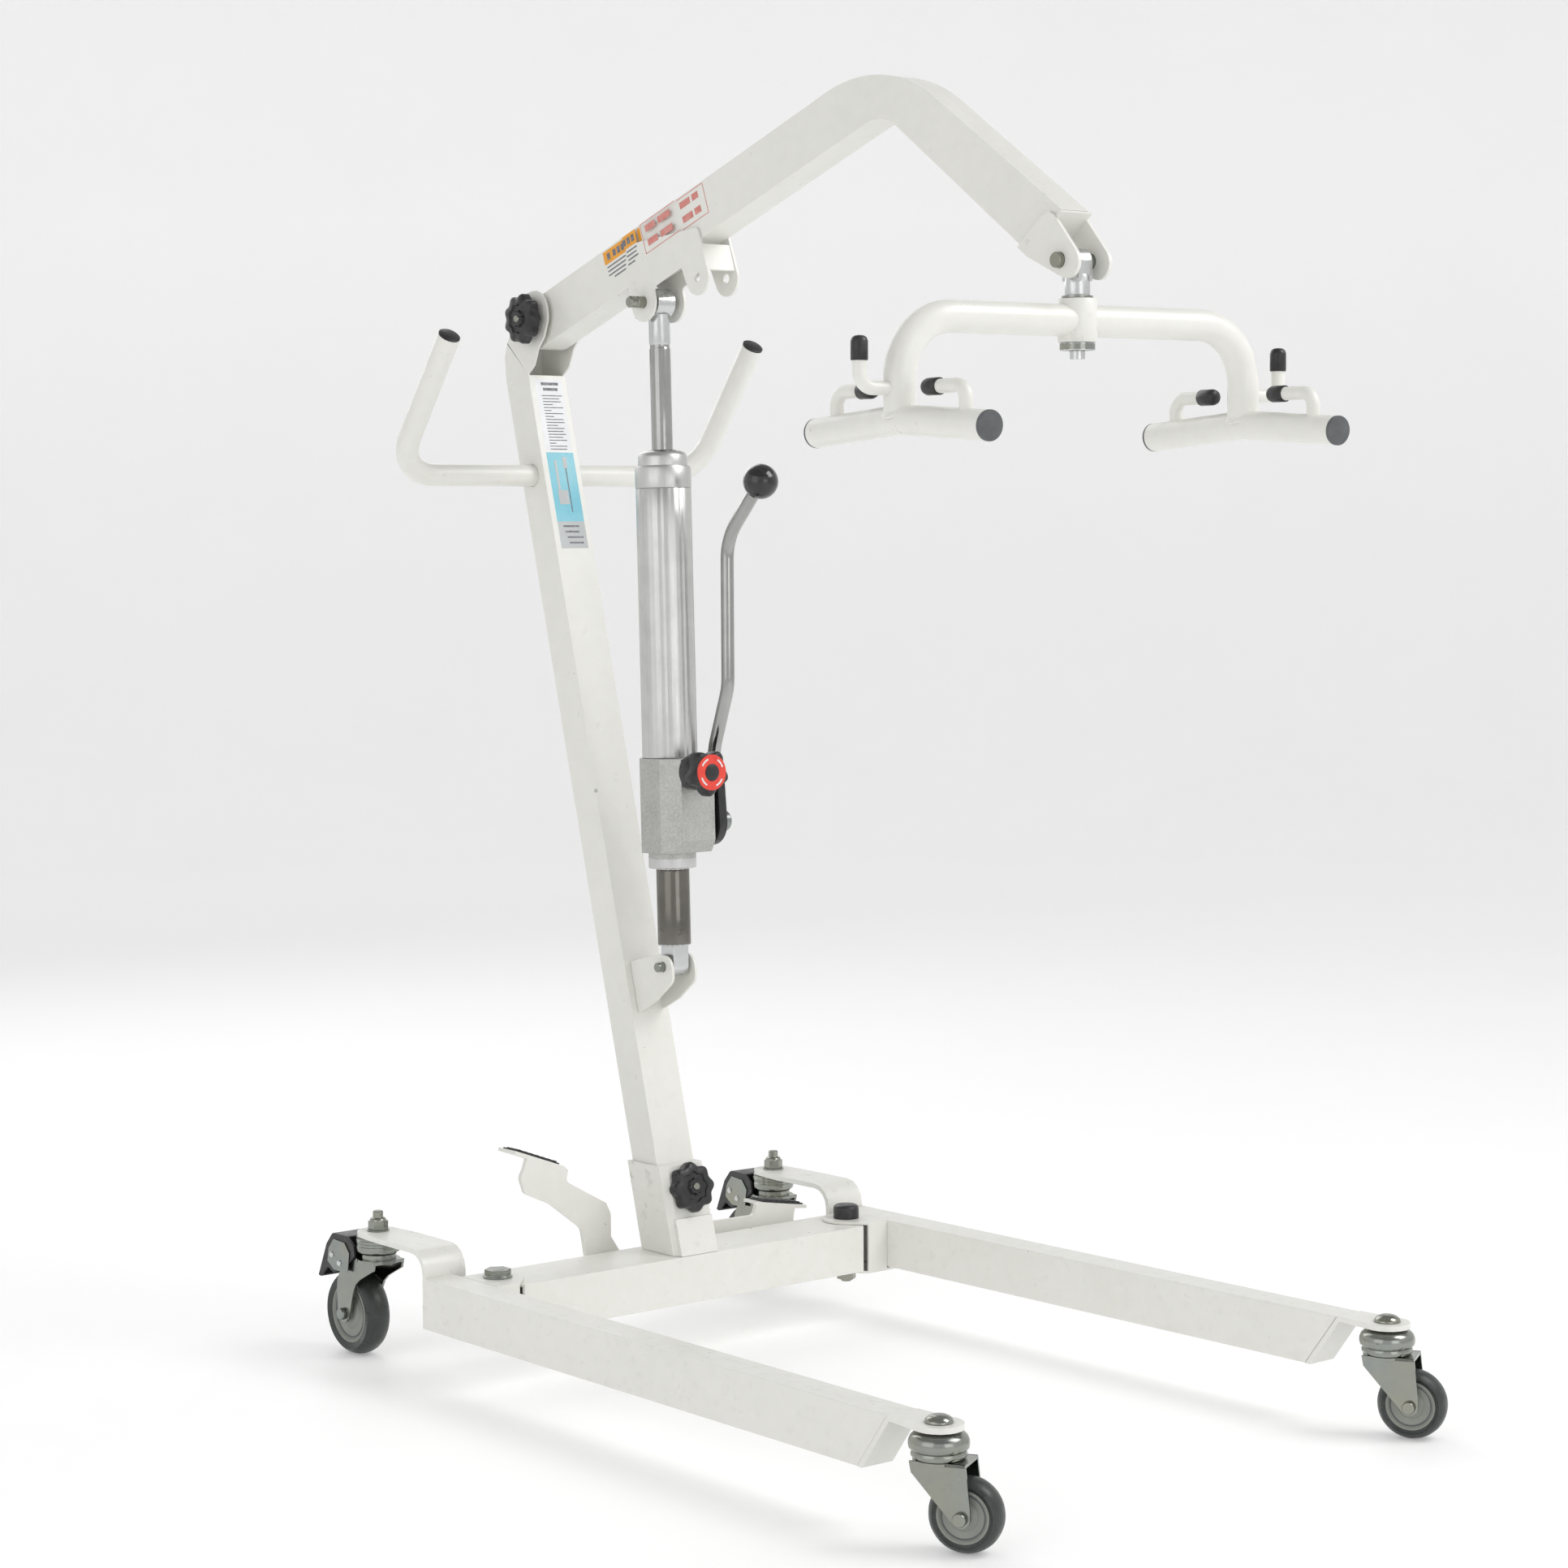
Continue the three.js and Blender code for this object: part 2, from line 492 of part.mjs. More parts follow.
function boomPumpBracket(parent) {
  const plate = [[-57.5, 1324, 4], [-57.3, 1286.8, 10], [-47, 1256], [-1.5, 1256], [-5.3, 1272.3, 5],
    [48.6, 1292.6, 5], [57.6, 1274], [98.5, 1284, 6], [78.7, 1336, 4]];
  const spare = { x: 78.6, z: 1278.6 };
  const lobe = (x, z, radius, low, high) => cylinder(radius, at(x, low, z), at(x, high, z), 24);
  const cheek = (low, high) => joined(
    plateY(plate, low, high), lobe(UPPER_PIN.x, UPPER_PIN.z, 23, low, high),
    lobe(spare.x, spare.z, 21, low, high),
  );
  const web = plateY([[92, 1286], [95.5, 1287], [85, 1317], [81.5, 1316]], -22, 22);
  const body = joined(cheek(-23.3, -20.2), cheek(20.2, 23.3), web);
  const holes = [lobe(UPPER_PIN.x, UPPER_PIN.z, 7.2, -30, 30), lobe(spare.x, spare.z, 5.5, -30, 30)];
  piece('boom_pump_bracket', cut(body, ...holes), PAINT, parent);
  piece('upper_pump_pin', lobe(UPPER_PIN.x, UPPER_PIN.z, UPPER_PIN.radius, -45, 20), ZINC, parent);
}

function boomClevis(parent) {
  const ear = [[664, 1312], [650, 1305], [618, 1278], [633, 1267.3, 3], [756, 1210, 17], [672, 1308.2]];
  const { pinX, pinZ } = HANGER;
  const lid = plateY([[679.6, 1312.4], [631.4, 1270.4], [633.8, 1268.2], [682, 1310.2]], -22, 22);
  const hole = cylinder(8.4, at(pinX, -30, pinZ), at(pinX, 30, pinZ), 20);
  const ears = joined(plateY(ear, -24.5, -20.1), plateY(ear, 20.1, 24.5), lid);
  piece('boom_clevis', cut(ears, hole), PAINT, parent);
  piece('hanger_pin', cylinder(8.1, at(pinX, -31, pinZ), at(pinX, 31, pinZ), 20), ZINC, parent);
}

function boomKnob(parent) {
  const grip = extruded(outline(lobes(9, 31, 3.5)), 34, 49, new THREE.Matrix4());
  const hub = cylinder(13, at(0, 0, 28.6), at(0, 0, 55), 18);
  const shaft = cylinder(6, at(0, 0, -38), at(0, 0, 58), 16);
  const head = cylinder(11, at(0, 0, -36), at(0, 0, -28.6), 6);
  const mesh = piece('boom_knob', joined(grip, hub, shaft, head), BLACK, parent);
  mesh.quaternion.setFromUnitVectors(AXIS.z, at(0, -1, 0));
  mesh.position.set(BOOM_PIVOT.x, 0, BOOM_PIVOT.z);
}

// ---------- pump: heights are counted along its axis from the lower pin ----------
function pump(parent) {
  const frame = new THREE.Group();
  frame.position.set(PUMP.x, 0, PUMP.z);
  frame.rotation.y = rad(PUMP.lean);
  parent.add(frame);
  const barrel = [[0, 250.3], [PUMP.radius, 250.3], [PUMP.radius, 568], [31, 570], [33.5, 572], [33.5, 597.4],
    [29.5, 597.4], [29.5, 611], [25, 615], [13.4, 615], [13.4, 262], [0, 262]];
  piece('pump_cylinder', turned(barrel, at(0, 0, 0), AXIS.z, 24), ALUMINIUM, frame);
  const plan = [[-33, -20], [-15.7, -34], [22.3, -34], [46.3, -20], [46.3, 30], [38, PUMP.side],
    [-15.7, PUMP.side], [-33, 20]];
  const slopes = plateY([[-33, 152], [-18, 137], [36, 137], [46.3, 152], [46.3, 250], [-33, 250]], -40, 40);
  const collar = cylinder(28.5, at(0, 0, 118.3), at(0, 0, 140), 20);
  piece('pump_block', joined(plateZ(plan, 130, 250).intersect(slopes), collar), ALUMINIUM, frame);
  const eye = joined(
    block([-12.5, 12.5], [-11.5, 11.5], [0, 27]),
    cylinder(12.5, at(0, -11.5, 0), at(0, 11.5, 0)),
  );
  const sleeve = cylinder(19.8, at(0, 0, 25), at(0, 0, 118), 20);
  piece('pump_foot', cut(joined(eye, sleeve), cylinder(6.3, at(0, -20, 0), at(0, 20, 0), 18)), STEEL, frame);
  const top = 790.3;
  const head = joined(
    cylinder(17, at(0, -13, top), at(0, 13, top)),
    block([-40, 0], [-13, 13], [top - 17, top + 17]),
  );
  const slot = joined(
    cylinder(11, at(0, -20, top), at(0, 20, top)),
    block([-50, 0], [-20, 20], [top - 11, top + 11]),
  );
  const rod = cylinder(12.7, at(0, 0, 400), at(0, 0, top - 15), 24);
  piece('pump_rod', cut(joined(rod, head), slot), CHROME, frame);
  const star = joined(extruded(outline(lobes(5, 29, 8)), 18, 39, axes(AXIS.y, AXIS.z, AXIS.x)),
    cylinder(21.5, at(0.4, 0, 0), at(30, 0, 0)));
  const release = piece('release_knob', star, BLACK, frame);
  release.position.set(46.3, -3, 234);
}

function pumpLever(parent) {
  const hinge = { x: 15, z: 637 };
  const near = PUMP.side + GAP;
  const route = [[24.5, 716.5], [25, 726], [52, 800], [52, 975], [112, 1038]].map(([x, z]) => at(x, 40, z));
  const arm = joined(
    cylinder(28.4, at(hinge.x, near, hinge.z), at(hinge.x, 46, hinge.z), 20),
    plateY([[-8, 654], [36, 656], [35, 722, 4], [14, 722, 4]], near, 46),
    cylinder(12.4, at(hinge.x, 45, hinge.z), at(hinge.x, 66, hinge.z), 18),
    tube(route, 24, 8, 0, 12),
  );
  piece('pump_lever', arm, CHROME, parent);
  const ball = solid(new THREE.SphereGeometry(20.8, 14, 10).rotateX(Math.PI / 2).translate(115.6, 40, 1042));
  const bore = cylinder(8.4, at(90, 40, 1015.2), at(113.2, 40, 1039.6), 16);
  piece('lever_ball', cut(ball, bore), BLACK, parent);
}

// ---------- hanger and cradle ----------
function hanger(parent) {
  const { x, pinX, pinZ } = HANGER;
  const tongue = joined(
    cylinder(13, at(pinX, -10, pinZ), at(pinX, 10, pinZ)),
    block([x - 12, x + 12], [-10, 10], [1240, pinZ]),
  );
  const shank = [[0, 1160], [8, 1160], [8, 1169], [18.5, 1169], [18.5, 1176.6], [8, 1176.6], [8, 1223],
    [16, 1223], [16, 1225], [13, 1226], [13, 1246], [9, 1250], [0, 1250]];
  const body = joined(turned(shank, at(x, 0, 0), AXIS.z), tongue);
  piece('hanger', cut(body, cylinder(8.5, at(pinX, -20, pinZ), at(pinX, 20, pinZ), 20)), ZINC, parent);
}

function cradle(parent) {
  const { half, barZ, tubeZ, arm, hookZ, yaw } = CRADLE;
  const frame = new THREE.Group();
  frame.position.set(HANGER.x, 0, 0);
  frame.rotation.z = rad(yaw);
  parent.add(frame);
  const ends = [-1, 1];
  const corners = [at(0, -half, 1100), at(0, -half, barZ), at(0, half, barZ), at(0, half, 1100)];
  const hook = (...route) => tube(route, 14, 7.2, 0, 10);
  const side = ends.map((s) => (
    hook(at(0, s * (half + 15), hookZ), at(0, s * 276, hookZ), at(0, s * 276, 1178))));
  const collar = cylinder(20.5, at(0, 0, 1177), at(0, 0, 1222.5));
  const seats = ends.map((s) => cylinder(15.8, at(-40, s * half, tubeZ), at(40, s * half, tubeZ)));
  const bore = cylinder(8.6, at(0, 0, 1160), at(0, 0, 1230), 18);
  const bar = joined(tube(corners, 62, 16.75, 14), collar, ...side);
  piece('cradle_bar', cut(bar, bore, ...seats), PAINT, frame);
  const names = ['right_cross_tube', 'left_cross_tube'];
  ends.forEach((s, i) => {
    const y = s * half;
    const route = [at(-arm, y, tubeZ - 10), at(0, y, tubeZ), at(arm, y, tubeZ - 10)];
    const hooks = ends.map((t) => hook(at(t * 111, y, 1102), at(t * 111, y, hookZ), at(t * 44, y, hookZ)));
    piece(names[i], joined(tube(route, 80, 15.4, 13), ...hooks), PAINT, frame);
  });
}

// ---------- the whole hoist ----------
const hoist = new THREE.Group();
hoist.position.x = -X_CENTRE;
crossbeam(hoist);
mastSocket(hoist);
socketKnob(hoist);
pivotBolt('right_pivot_bolt', -1, { radius: 17.5, top: 135, sides: 6 }, hoist);
pivotBolt('left_pivot_bolt', 1, { radius: 16, top: 142, sides: 24 }, hoist);
rockerBolt(hoist);
leg('right', -1, hoist);
leg('left', 1, hoist);
rocker(hoist);
tieRod('left_tie_rod', 1, hoist);
tieRod('right_tie_rod', -1, hoist);
mastTube(hoist);
handleBar(hoist);
lowerPumpBracket(hoist);
boomTube(hoist);
boomPumpBracket(hoist);
boomClevis(hoist);
boomKnob(hoist);
pump(hoist);
pumpLever(hoist);
hanger(hoist);
cradle(hoist);

export default hoist;
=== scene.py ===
"""Patient lift hoist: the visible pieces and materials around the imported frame."""
import json
import math
import bmesh
import bpy
from mathutils import Matrix, Vector

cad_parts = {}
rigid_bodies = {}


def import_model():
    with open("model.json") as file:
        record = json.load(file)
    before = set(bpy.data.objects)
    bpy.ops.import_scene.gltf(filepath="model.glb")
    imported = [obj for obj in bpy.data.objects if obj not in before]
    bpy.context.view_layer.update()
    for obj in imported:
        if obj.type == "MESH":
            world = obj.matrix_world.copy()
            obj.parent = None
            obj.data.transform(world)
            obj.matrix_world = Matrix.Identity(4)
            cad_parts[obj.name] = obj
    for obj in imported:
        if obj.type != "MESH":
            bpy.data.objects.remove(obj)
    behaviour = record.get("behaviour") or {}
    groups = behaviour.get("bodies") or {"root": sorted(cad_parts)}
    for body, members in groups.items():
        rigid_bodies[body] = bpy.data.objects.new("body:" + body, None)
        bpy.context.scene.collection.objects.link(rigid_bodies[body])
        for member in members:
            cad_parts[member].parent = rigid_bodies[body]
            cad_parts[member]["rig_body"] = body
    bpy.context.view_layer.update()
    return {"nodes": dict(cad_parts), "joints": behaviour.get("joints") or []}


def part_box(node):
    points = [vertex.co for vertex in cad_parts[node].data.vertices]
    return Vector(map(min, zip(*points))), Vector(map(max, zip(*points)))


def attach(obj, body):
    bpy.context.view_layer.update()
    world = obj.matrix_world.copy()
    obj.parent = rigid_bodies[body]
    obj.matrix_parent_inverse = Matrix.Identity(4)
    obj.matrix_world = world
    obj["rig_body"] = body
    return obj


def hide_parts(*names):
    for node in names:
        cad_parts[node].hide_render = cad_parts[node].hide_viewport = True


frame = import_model()

MM = 0.001
BEAM_LOW, BEAM_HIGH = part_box("crossbeam")
BEAM_X = (BEAM_LOW.x + BEAM_HIGH.x) / 2
UNIT = Matrix.Scale(MM, 4)

# Driving places, in millimetres from the crossbeam's centre on the floor.
LEG_PIVOT_Y = 266
LEG_SPLAY = 0.84                     # degrees each leg opens at rest
MAST_FRONT = (21.4, 122)             # X and Z of the mast's front face at its foot
MAST_SLOPE = 0.2595                  # how far the mast leans back for each unit of height
BOOM_PIVOT = (-243.2, 1245.6)
BOOM_RISE = 19.65                    # degrees
UPPER_PIN = (-24.5, 1255)
LEVER_PIVOT = (15, 637)
HANGER_X = 682.6
CRADLE_TURN = -6                     # degrees
ROCKER_Z, ROCKER_TILT = 92, -15.2    # millimetres, degrees
FRONT_WHEEL, REAR_WHEEL = 38, 51     # radii


def spot(x=0.0, y=0.0, z=0.0):
    """A place in millimetres from the crossbeam's centre, as a frame for pieces drawn in millimetres."""
    return Matrix.Translation((BEAM_X + x * MM, y * MM, z * MM))


def shift(x=0.0, y=0.0, z=0.0):
    """A move in millimetres."""
    return Matrix.Translation((x * MM, y * MM, z * MM))


def turn(axis, degrees):
    return Matrix.Rotation(math.radians(degrees), 4, axis)


def facing(direction):
    """A turn that brings Z onto the direction."""
    return Vector((0, 0, 1)).rotation_difference(Vector(direction)).to_matrix().to_4x4()


FACE_FRONT = turn("Y", 90)
FACE_BACK = turn("Y", -90)
FACE_LEFT = turn("X", -90)
FACE_RIGHT = turn("X", 90)
PUMP = spot(-3, 0, 465) @ turn("Y", -1.56)


# ---------------------------------------------------------------- materials
class Surface:
    """A procedural material: base colour, colour grain, roughness variation, bump and worn edges."""

    def __init__(self, name, colour, roughness, metallic=0.0):
        self.material = bpy.data.materials.new(name)
        self.material.use_nodes = True
        self.tree = self.material.node_tree
        self.shader = self.tree.nodes["Principled BSDF"]
        self.shader.inputs["Metallic"].default_value = metallic
        self.roughness = roughness
        self.place = self.tree.nodes.new("ShaderNodeTexCoord").outputs["Object"]
        self.paint = self.rgb(colour)

    def rgb(self, colour):
        node = self.tree.nodes.new("ShaderNodeRGB")
        node.outputs[0].default_value = (*colour, 1)
        return node.outputs[0]

    def noise(self, scale, detail=4.0, stretch=None):
        place = self.place
        if stretch:
            mapping = self.tree.nodes.new("ShaderNodeMapping")
            mapping.inputs["Scale"].default_value = stretch
            self.tree.links.new(place, mapping.inputs["Vector"])
            place = mapping.outputs["Vector"]
        node = self.tree.nodes.new("ShaderNodeTexNoise")
        node.inputs["Scale"].default_value = scale
        node.inputs["Detail"].default_value = detail
        self.tree.links.new(place, node.inputs["Vector"])
        return node.outputs["Fac"]

    def ranged(self, value, low, high, out_low, out_high):
        node = self.tree.nodes.new("ShaderNodeMapRange")
        limits = {"From Min": low, "From Max": high, "To Min": out_low, "To Max": out_high}
        for socket, number in limits.items():
            node.inputs[socket].default_value = number
        self.tree.links.new(value, node.inputs["Value"])
        return node.outputs["Result"]

    def product(self, a, b):
        node = self.tree.nodes.new("ShaderNodeMath")
        node.operation = "MULTIPLY"
        self.tree.links.new(a, node.inputs[0])
        self.tree.links.new(b, node.inputs[1])
        return node.outputs[0]

    def tint(self, factor, colour):
        """Mixes another colour over the paint where factor is high."""
        node = self.tree.nodes.new("ShaderNodeMix")
        node.data_type = "RGBA"
        self.tree.links.new(factor, node.inputs["Factor"])
        self.tree.links.new(self.paint, node.inputs["A"])
        node.inputs["B"].default_value = (*colour, 1)
        self.paint = node.outputs["Result"]
        return self

    def mottled(self, scale, colour, amount):
        return self.tint(self.ranged(self.noise(scale), 0.35, 0.7, 0, amount), colour)

    def worn_edges(self, colour, amount, scale=60):
        geometry = self.tree.nodes.new("ShaderNodeNewGeometry")
        edge = self.ranged(geometry.outputs["Pointiness"], 0.53, 0.62, 0, 1)
        patches = self.ranged(self.noise(scale, 6), 0.58, 0.68, 0, amount)
        return self.tint(self.product(edge, patches), colour)

    def chips(self, colour, scale, threshold, amount):
        return self.tint(self.ranged(self.noise(scale, 3), threshold, threshold + 0.02, 0, amount), colour)

    def finish(self, spread, rough_scale, bump, bump_scale, stretch=None, coat=0.0):
        rough = self.ranged(self.noise(rough_scale, 5, stretch), 0.3, 0.7,
                            max(self.roughness - spread, 0.02), self.roughness + spread)
        self.tree.links.new(rough, self.shader.inputs["Roughness"])
        self.tree.links.new(self.paint, self.shader.inputs["Base Color"])
        self.shader.inputs["Coat Weight"].default_value = coat
        self.shader.inputs["Coat Roughness"].default_value = 0.2
        node = self.tree.nodes.new("ShaderNodeBump")
        node.inputs["Strength"].default_value = bump
        node.inputs["Distance"].default_value = 0.0006
        self.tree.links.new(self.noise(bump_scale, 3, stretch), node.inputs["Height"])
        self.tree.links.new(node.outputs["Normal"], self.shader.inputs["Normal"])
        return self.material


PAINT = (Surface("white_powder_coat", (0.79, 0.785, 0.74), 0.36)
         .mottled(6, (0.72, 0.72, 0.665), 0.45).mottled(55, (0.84, 0.835, 0.80), 0.35)
         .chips((0.33, 0.33, 0.30), 95, 0.755, 0.7).worn_edges((0.42, 0.41, 0.38), 0.55, 80)
         .finish(0.09, 40, 0.10, 900, coat=0.15))
ZINC = (Surface("zinc_plate", (0.30, 0.32, 0.30), 0.20, 1.0)
        .mottled(60, (0.24, 0.27, 0.28), 0.6).mottled(14, (0.32, 0.30, 0.22), 0.6)
        .finish(0.10, 70, 0.06, 500))
# The chrome's base colour is kept much darker than real chrome: a painted reflection of dark surroundings on
# the pump rod and the lever.
CHROME_WITH_PAINTED_REFLECTION = (Surface("chrome", (0.40, 0.40, 0.39), 0.09, 1.0)
          .mottled(25, (0.30, 0.30, 0.29), 0.5).finish(0.05, 60, 0.04, 900, (1, 1, 0.08)))
BRIGHT = (Surface("turned_steel", (0.62, 0.63, 0.63), 0.24, 1.0)
          .mottled(35, (0.50, 0.51, 0.51), 0.5).finish(0.08, 140, 0.10, 800, (1, 1, 0.2)))
SLEEVE = (Surface("dark_sleeve", (0.19, 0.18, 0.165), 0.15, 1.0)
          .mottled(30, (0.12, 0.115, 0.10), 0.6).chips((0.10, 0.09, 0.08), 70, 0.68, 0.6)
          .finish(0.08, 70, 0.08, 600, (1, 1, 0.1)))
ALUMINIUM = (Surface("satin_aluminium", (0.60, 0.60, 0.59), 0.34, 1.0)
             .mottled(45, (0.50, 0.50, 0.49), 0.5).finish(0.08, 220, 0.16, 900, (1, 1, 0.03)))
CAST = (Surface("cast_aluminium", (0.50, 0.50, 0.48), 0.50, 1.0)
        .mottled(420, (0.36, 0.36, 0.35), 0.8).mottled(30, (0.56, 0.56, 0.53), 0.4)
        .finish(0.12, 300, 0.85, 520))
BLACK = (Surface("black_plastic", (0.012, 0.012, 0.013), 0.36)
         .mottled(60, (0.03, 0.03, 0.032), 0.7).worn_edges((0.09, 0.09, 0.09), 0.6)
         .finish(0.10, 90, 0.16, 1100))
DARK_CAP = (Surface("grey_cap", (0.085, 0.09, 0.095), 0.42)
            .mottled(80, (0.13, 0.135, 0.14), 0.6).finish(0.1, 90, 0.2, 900))
GLOSS = (Surface("gloss_ball", (0.006, 0.006, 0.007), 0.09)
         .mottled(40, (0.012, 0.012, 0.013), 0.6).finish(0.04, 50, 0.03, 700, coat=0.5))
TYRE = (Surface("polyurethane_tyre", (0.022, 0.028, 0.025), 0.34)
        .mottled(30, (0.045, 0.052, 0.047), 0.6).chips((0.12, 0.12, 0.11), 160, 0.70, 0.5)
        .finish(0.12, 80, 0.3, 700))
HUB = (Surface("hub_plastic", (0.27, 0.28, 0.25), 0.42)
       .mottled(50, (0.21, 0.22, 0.20), 0.6).finish(0.1, 90, 0.15, 800))
PAPER = (Surface("label_paper", (0.78, 0.785, 0.80), 0.30)
         .mottled(30, (0.70, 0.71, 0.73), 0.5).finish(0.08, 60, 0.05, 700))
INK = (Surface("label_ink", (0.10, 0.10, 0.12), 0.5)
       .mottled(300, (0.35, 0.35, 0.38), 0.7).finish(0.1, 90, 0.05, 700))
BLUE = (Surface("label_blue", (0.15, 0.50, 0.62), 0.32)
        .mottled(30, (0.30, 0.62, 0.70), 0.8).finish(0.08, 60, 0.05, 700))
GREY = (Surface("label_grey", (0.50, 0.52, 0.52), 0.35)
        .mottled(40, (0.42, 0.44, 0.44), 0.6).finish(0.08, 60, 0.05, 700))
ORANGE = (Surface("label_orange", (0.85, 0.38, 0.03), 0.35)
          .mottled(60, (0.75, 0.30, 0.02), 0.6).finish(0.08, 60, 0.05, 700))
RED = (Surface("red_print", (0.72, 0.045, 0.03), 0.38)
       .mottled(90, (0.85, 0.10, 0.06), 0.6).finish(0.08, 90, 0.08, 700))
PALE_RED = (Surface("pale_red_print", (0.62, 0.20, 0.17), 0.4)
            .mottled(120, (0.72, 0.36, 0.32), 0.7).finish(0.08, 90, 0.05, 700))


# ---------------------------------------------------------------- piece making
def piece(name, bm, place, body, material, nodes=(), bevel=0.0, sharp=38):
    """Turns a bmesh in millimetres into a finished piece that rides on a body."""
    bm.transform(place @ UNIT)
    bmesh.ops.recalc_face_normals(bm, faces=bm.faces[:])
    mesh = bpy.data.meshes.new(name)
    bm.to_mesh(mesh)
    bm.free()
    obj = bpy.data.objects.new(name, mesh)
    bpy.context.scene.collection.objects.link(obj)
    mesh.materials.append(material)
    mesh.shade_smooth()
    if bevel:
        rounding = obj.modifiers.new("rounding", "BEVEL")
        rounding.width = bevel * MM
        rounding.segments = 3
        rounding.limit_method = "ANGLE"
        rounding.angle_limit = math.radians(sharp)
        rounding.use_clamp_overlap = True
        normals = obj.modifiers.new("normals", "WEIGHTED_NORMAL")
        normals.keep_sharp = True
    else:
        mesh.set_sharp_from_angle(angle=math.radians(sharp))
    if nodes:
        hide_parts(*nodes)
    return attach(obj, body)


def skin(rings, caps=True):
    """Skins a row of closed point rings; caps close the two ends with faces."""
    bm = bmesh.new()
    rows = [[bm.verts.new(p) for p in ring] for ring in rings]
    for low, high in zip(rows, rows[1:]):
        for i in range(len(low)):
            j = (i + 1) % len(low)
            bm.faces.new((low[i], low[j], high[j], high[i]))
    if caps:
        bm.faces.new(list(reversed(rows[0])))
        bm.faces.new(rows[-1])
    return bm


def full_turn(sides):
    return [2 * math.pi * i / sides for i in range(sides)]


def polar(radius, angle, height):
    return Vector((radius * math.cos(angle), radius * math.sin(angle), height))


def lathe(profile, sides=64):
    """Turns [radius, height] pairs round Z and closes both ends."""
    return skin([[polar(radius, a, height) for a in full_turn(sides)] for radius, height in profile])


def hoop(rings):
    """Skins a row of point rings that ends where it starts."""
    bm = skin(rings + [rings[0]], caps=False)
    bmesh.ops.remove_doubles(bm, verts=bm.verts[:], dist=1e-4)
    return bm


def ring_of(profile, sides=72):
    """A turned ring: the profile is a closed outline of [radius, height] pairs."""
    return hoop([[polar(radius, a, height) for radius, height in profile] for a in full_turn(sides)])


def corner_bend(before, here, after):
    """The angle by which a line turns at a corner."""
    return math.pi - (before - here).normalized().angle((after - here).normalized())


def fillet(before, here, after, radius, count):
    """Points on an arc in place of the corner at here."""
    a, b = (before - here).normalized(), (after - here).normalized()
    bend = corner_bend(before, here, after)
    reach = radius * math.tan(bend / 2)
    centre = here + (a + b).normalized() * (radius / math.cos(bend / 2))
    start, end = here + a * reach - centre, here + b * reach - centre
    return [centre + start * (math.sin(bend - bend * i / count) / math.sin(bend)) +
            end * (math.sin(bend * i / count) / math.sin(bend)) for i in range(count + 1)]


def bend_points(corners, radius, step=6):
    """The centre line through the corners, with arcs of about step degrees a point at the inner ones."""
    corners = [Vector(c) for c in corners]
    line = [corners[0]]
    for before, here, after in zip(corners, corners[1:], corners[2:]):
        count = max(2, round(math.degrees(corner_bend(before, here, after)) / step))
        line += fillet(before, here, after, radius, count)
    return line + [corners[-1]]


def sweep(line, radius, sides=36):
    """A round bar along the line."""
    side = (line[1] - line[0]).normalized().orthogonal().normalized()
    rings = []
    for i, here in enumerate(line):
        along = (line[min(i + 1, len(line) - 1)] - line[max(i - 1, 0)]).normalized()
        side = (side - along * side.dot(along)).normalized()
        up = along.cross(side)
        rings.append([here + radius * (side * math.cos(a) + up * math.sin(a)) for a in full_turn(sides)])
    return skin(rings)


def slab(outline, low, high):
    """An outline in X-Y, given thickness along Z."""
    return skin([[Vector((x, y, z)) for x, y in outline] for z in (low, high)])


def upright(outline, low, high):
    """An outline in X-Z, given thickness along Y."""
    return moved(slab(outline, -high, -low), FACE_RIGHT)


def arc(centre, radius, start, end, count):
    """Points on a circle between two angles in degrees."""
    angles = [math.radians(start + (end - start) * i / count) for i in range(count + 1)]
    return [(centre[0] + radius * math.cos(a), centre[1] + radius * math.sin(a)) for a in angles]


def hexagon(radius):
    return arc((0, 0), radius, 0, 300, 5)


def box_outline(x, y, width, height):
    return [(x, y), (x + width, y), (x + width, y + height), (x, y + height)]


def lobed(count, radius, depth, flat=1.0):
    """The outline of a knob's grip: count rounded lobes with dips between them."""
    points = []
    for angle in full_turn(count * 16):
        reach = radius - depth * (0.5 - 0.5 * math.cos(count * angle)) ** flat
        points.append((reach * math.cos(angle), reach * math.sin(angle)))
    return points


def scaled(outline, steps):
    """The outline drawn at each [scale, height] step and skinned."""
    return skin([[Vector((x * k, y * k, z)) for x, y in outline] for k, z in steps])


def merged(*parts):
    """Several bmeshes as one."""
    whole = bmesh.new()
    for part in parts:
        mesh = bpy.data.meshes.new("part")
        part.to_mesh(mesh)
        part.free()
        whole.from_mesh(mesh)
        bpy.data.meshes.remove(mesh)
    return whole


def moved(bm, matrix):
    bm.transform(matrix)
    return bm


def soften(node, bevel, material, name=None, sharp=38):
    """A CAD node's shape with rounded edges, as a piece that stands for the node."""
    bm = bmesh.new()
    bm.from_mesh(frame["nodes"][node].data)
    bmesh.ops.remove_doubles(bm, verts=bm.verts[:], dist=2e-6)
    bmesh.ops.dissolve_limit(bm, angle_limit=math.radians(1.5), verts=bm.verts[:], edges=bm.edges[:])
    bm.transform(Matrix.Scale(1 / MM, 4))
    body = frame["nodes"][node]["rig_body"]
    return piece(name or f"{node}_skin", bm, Matrix(), body, material, (node,), bevel, sharp)


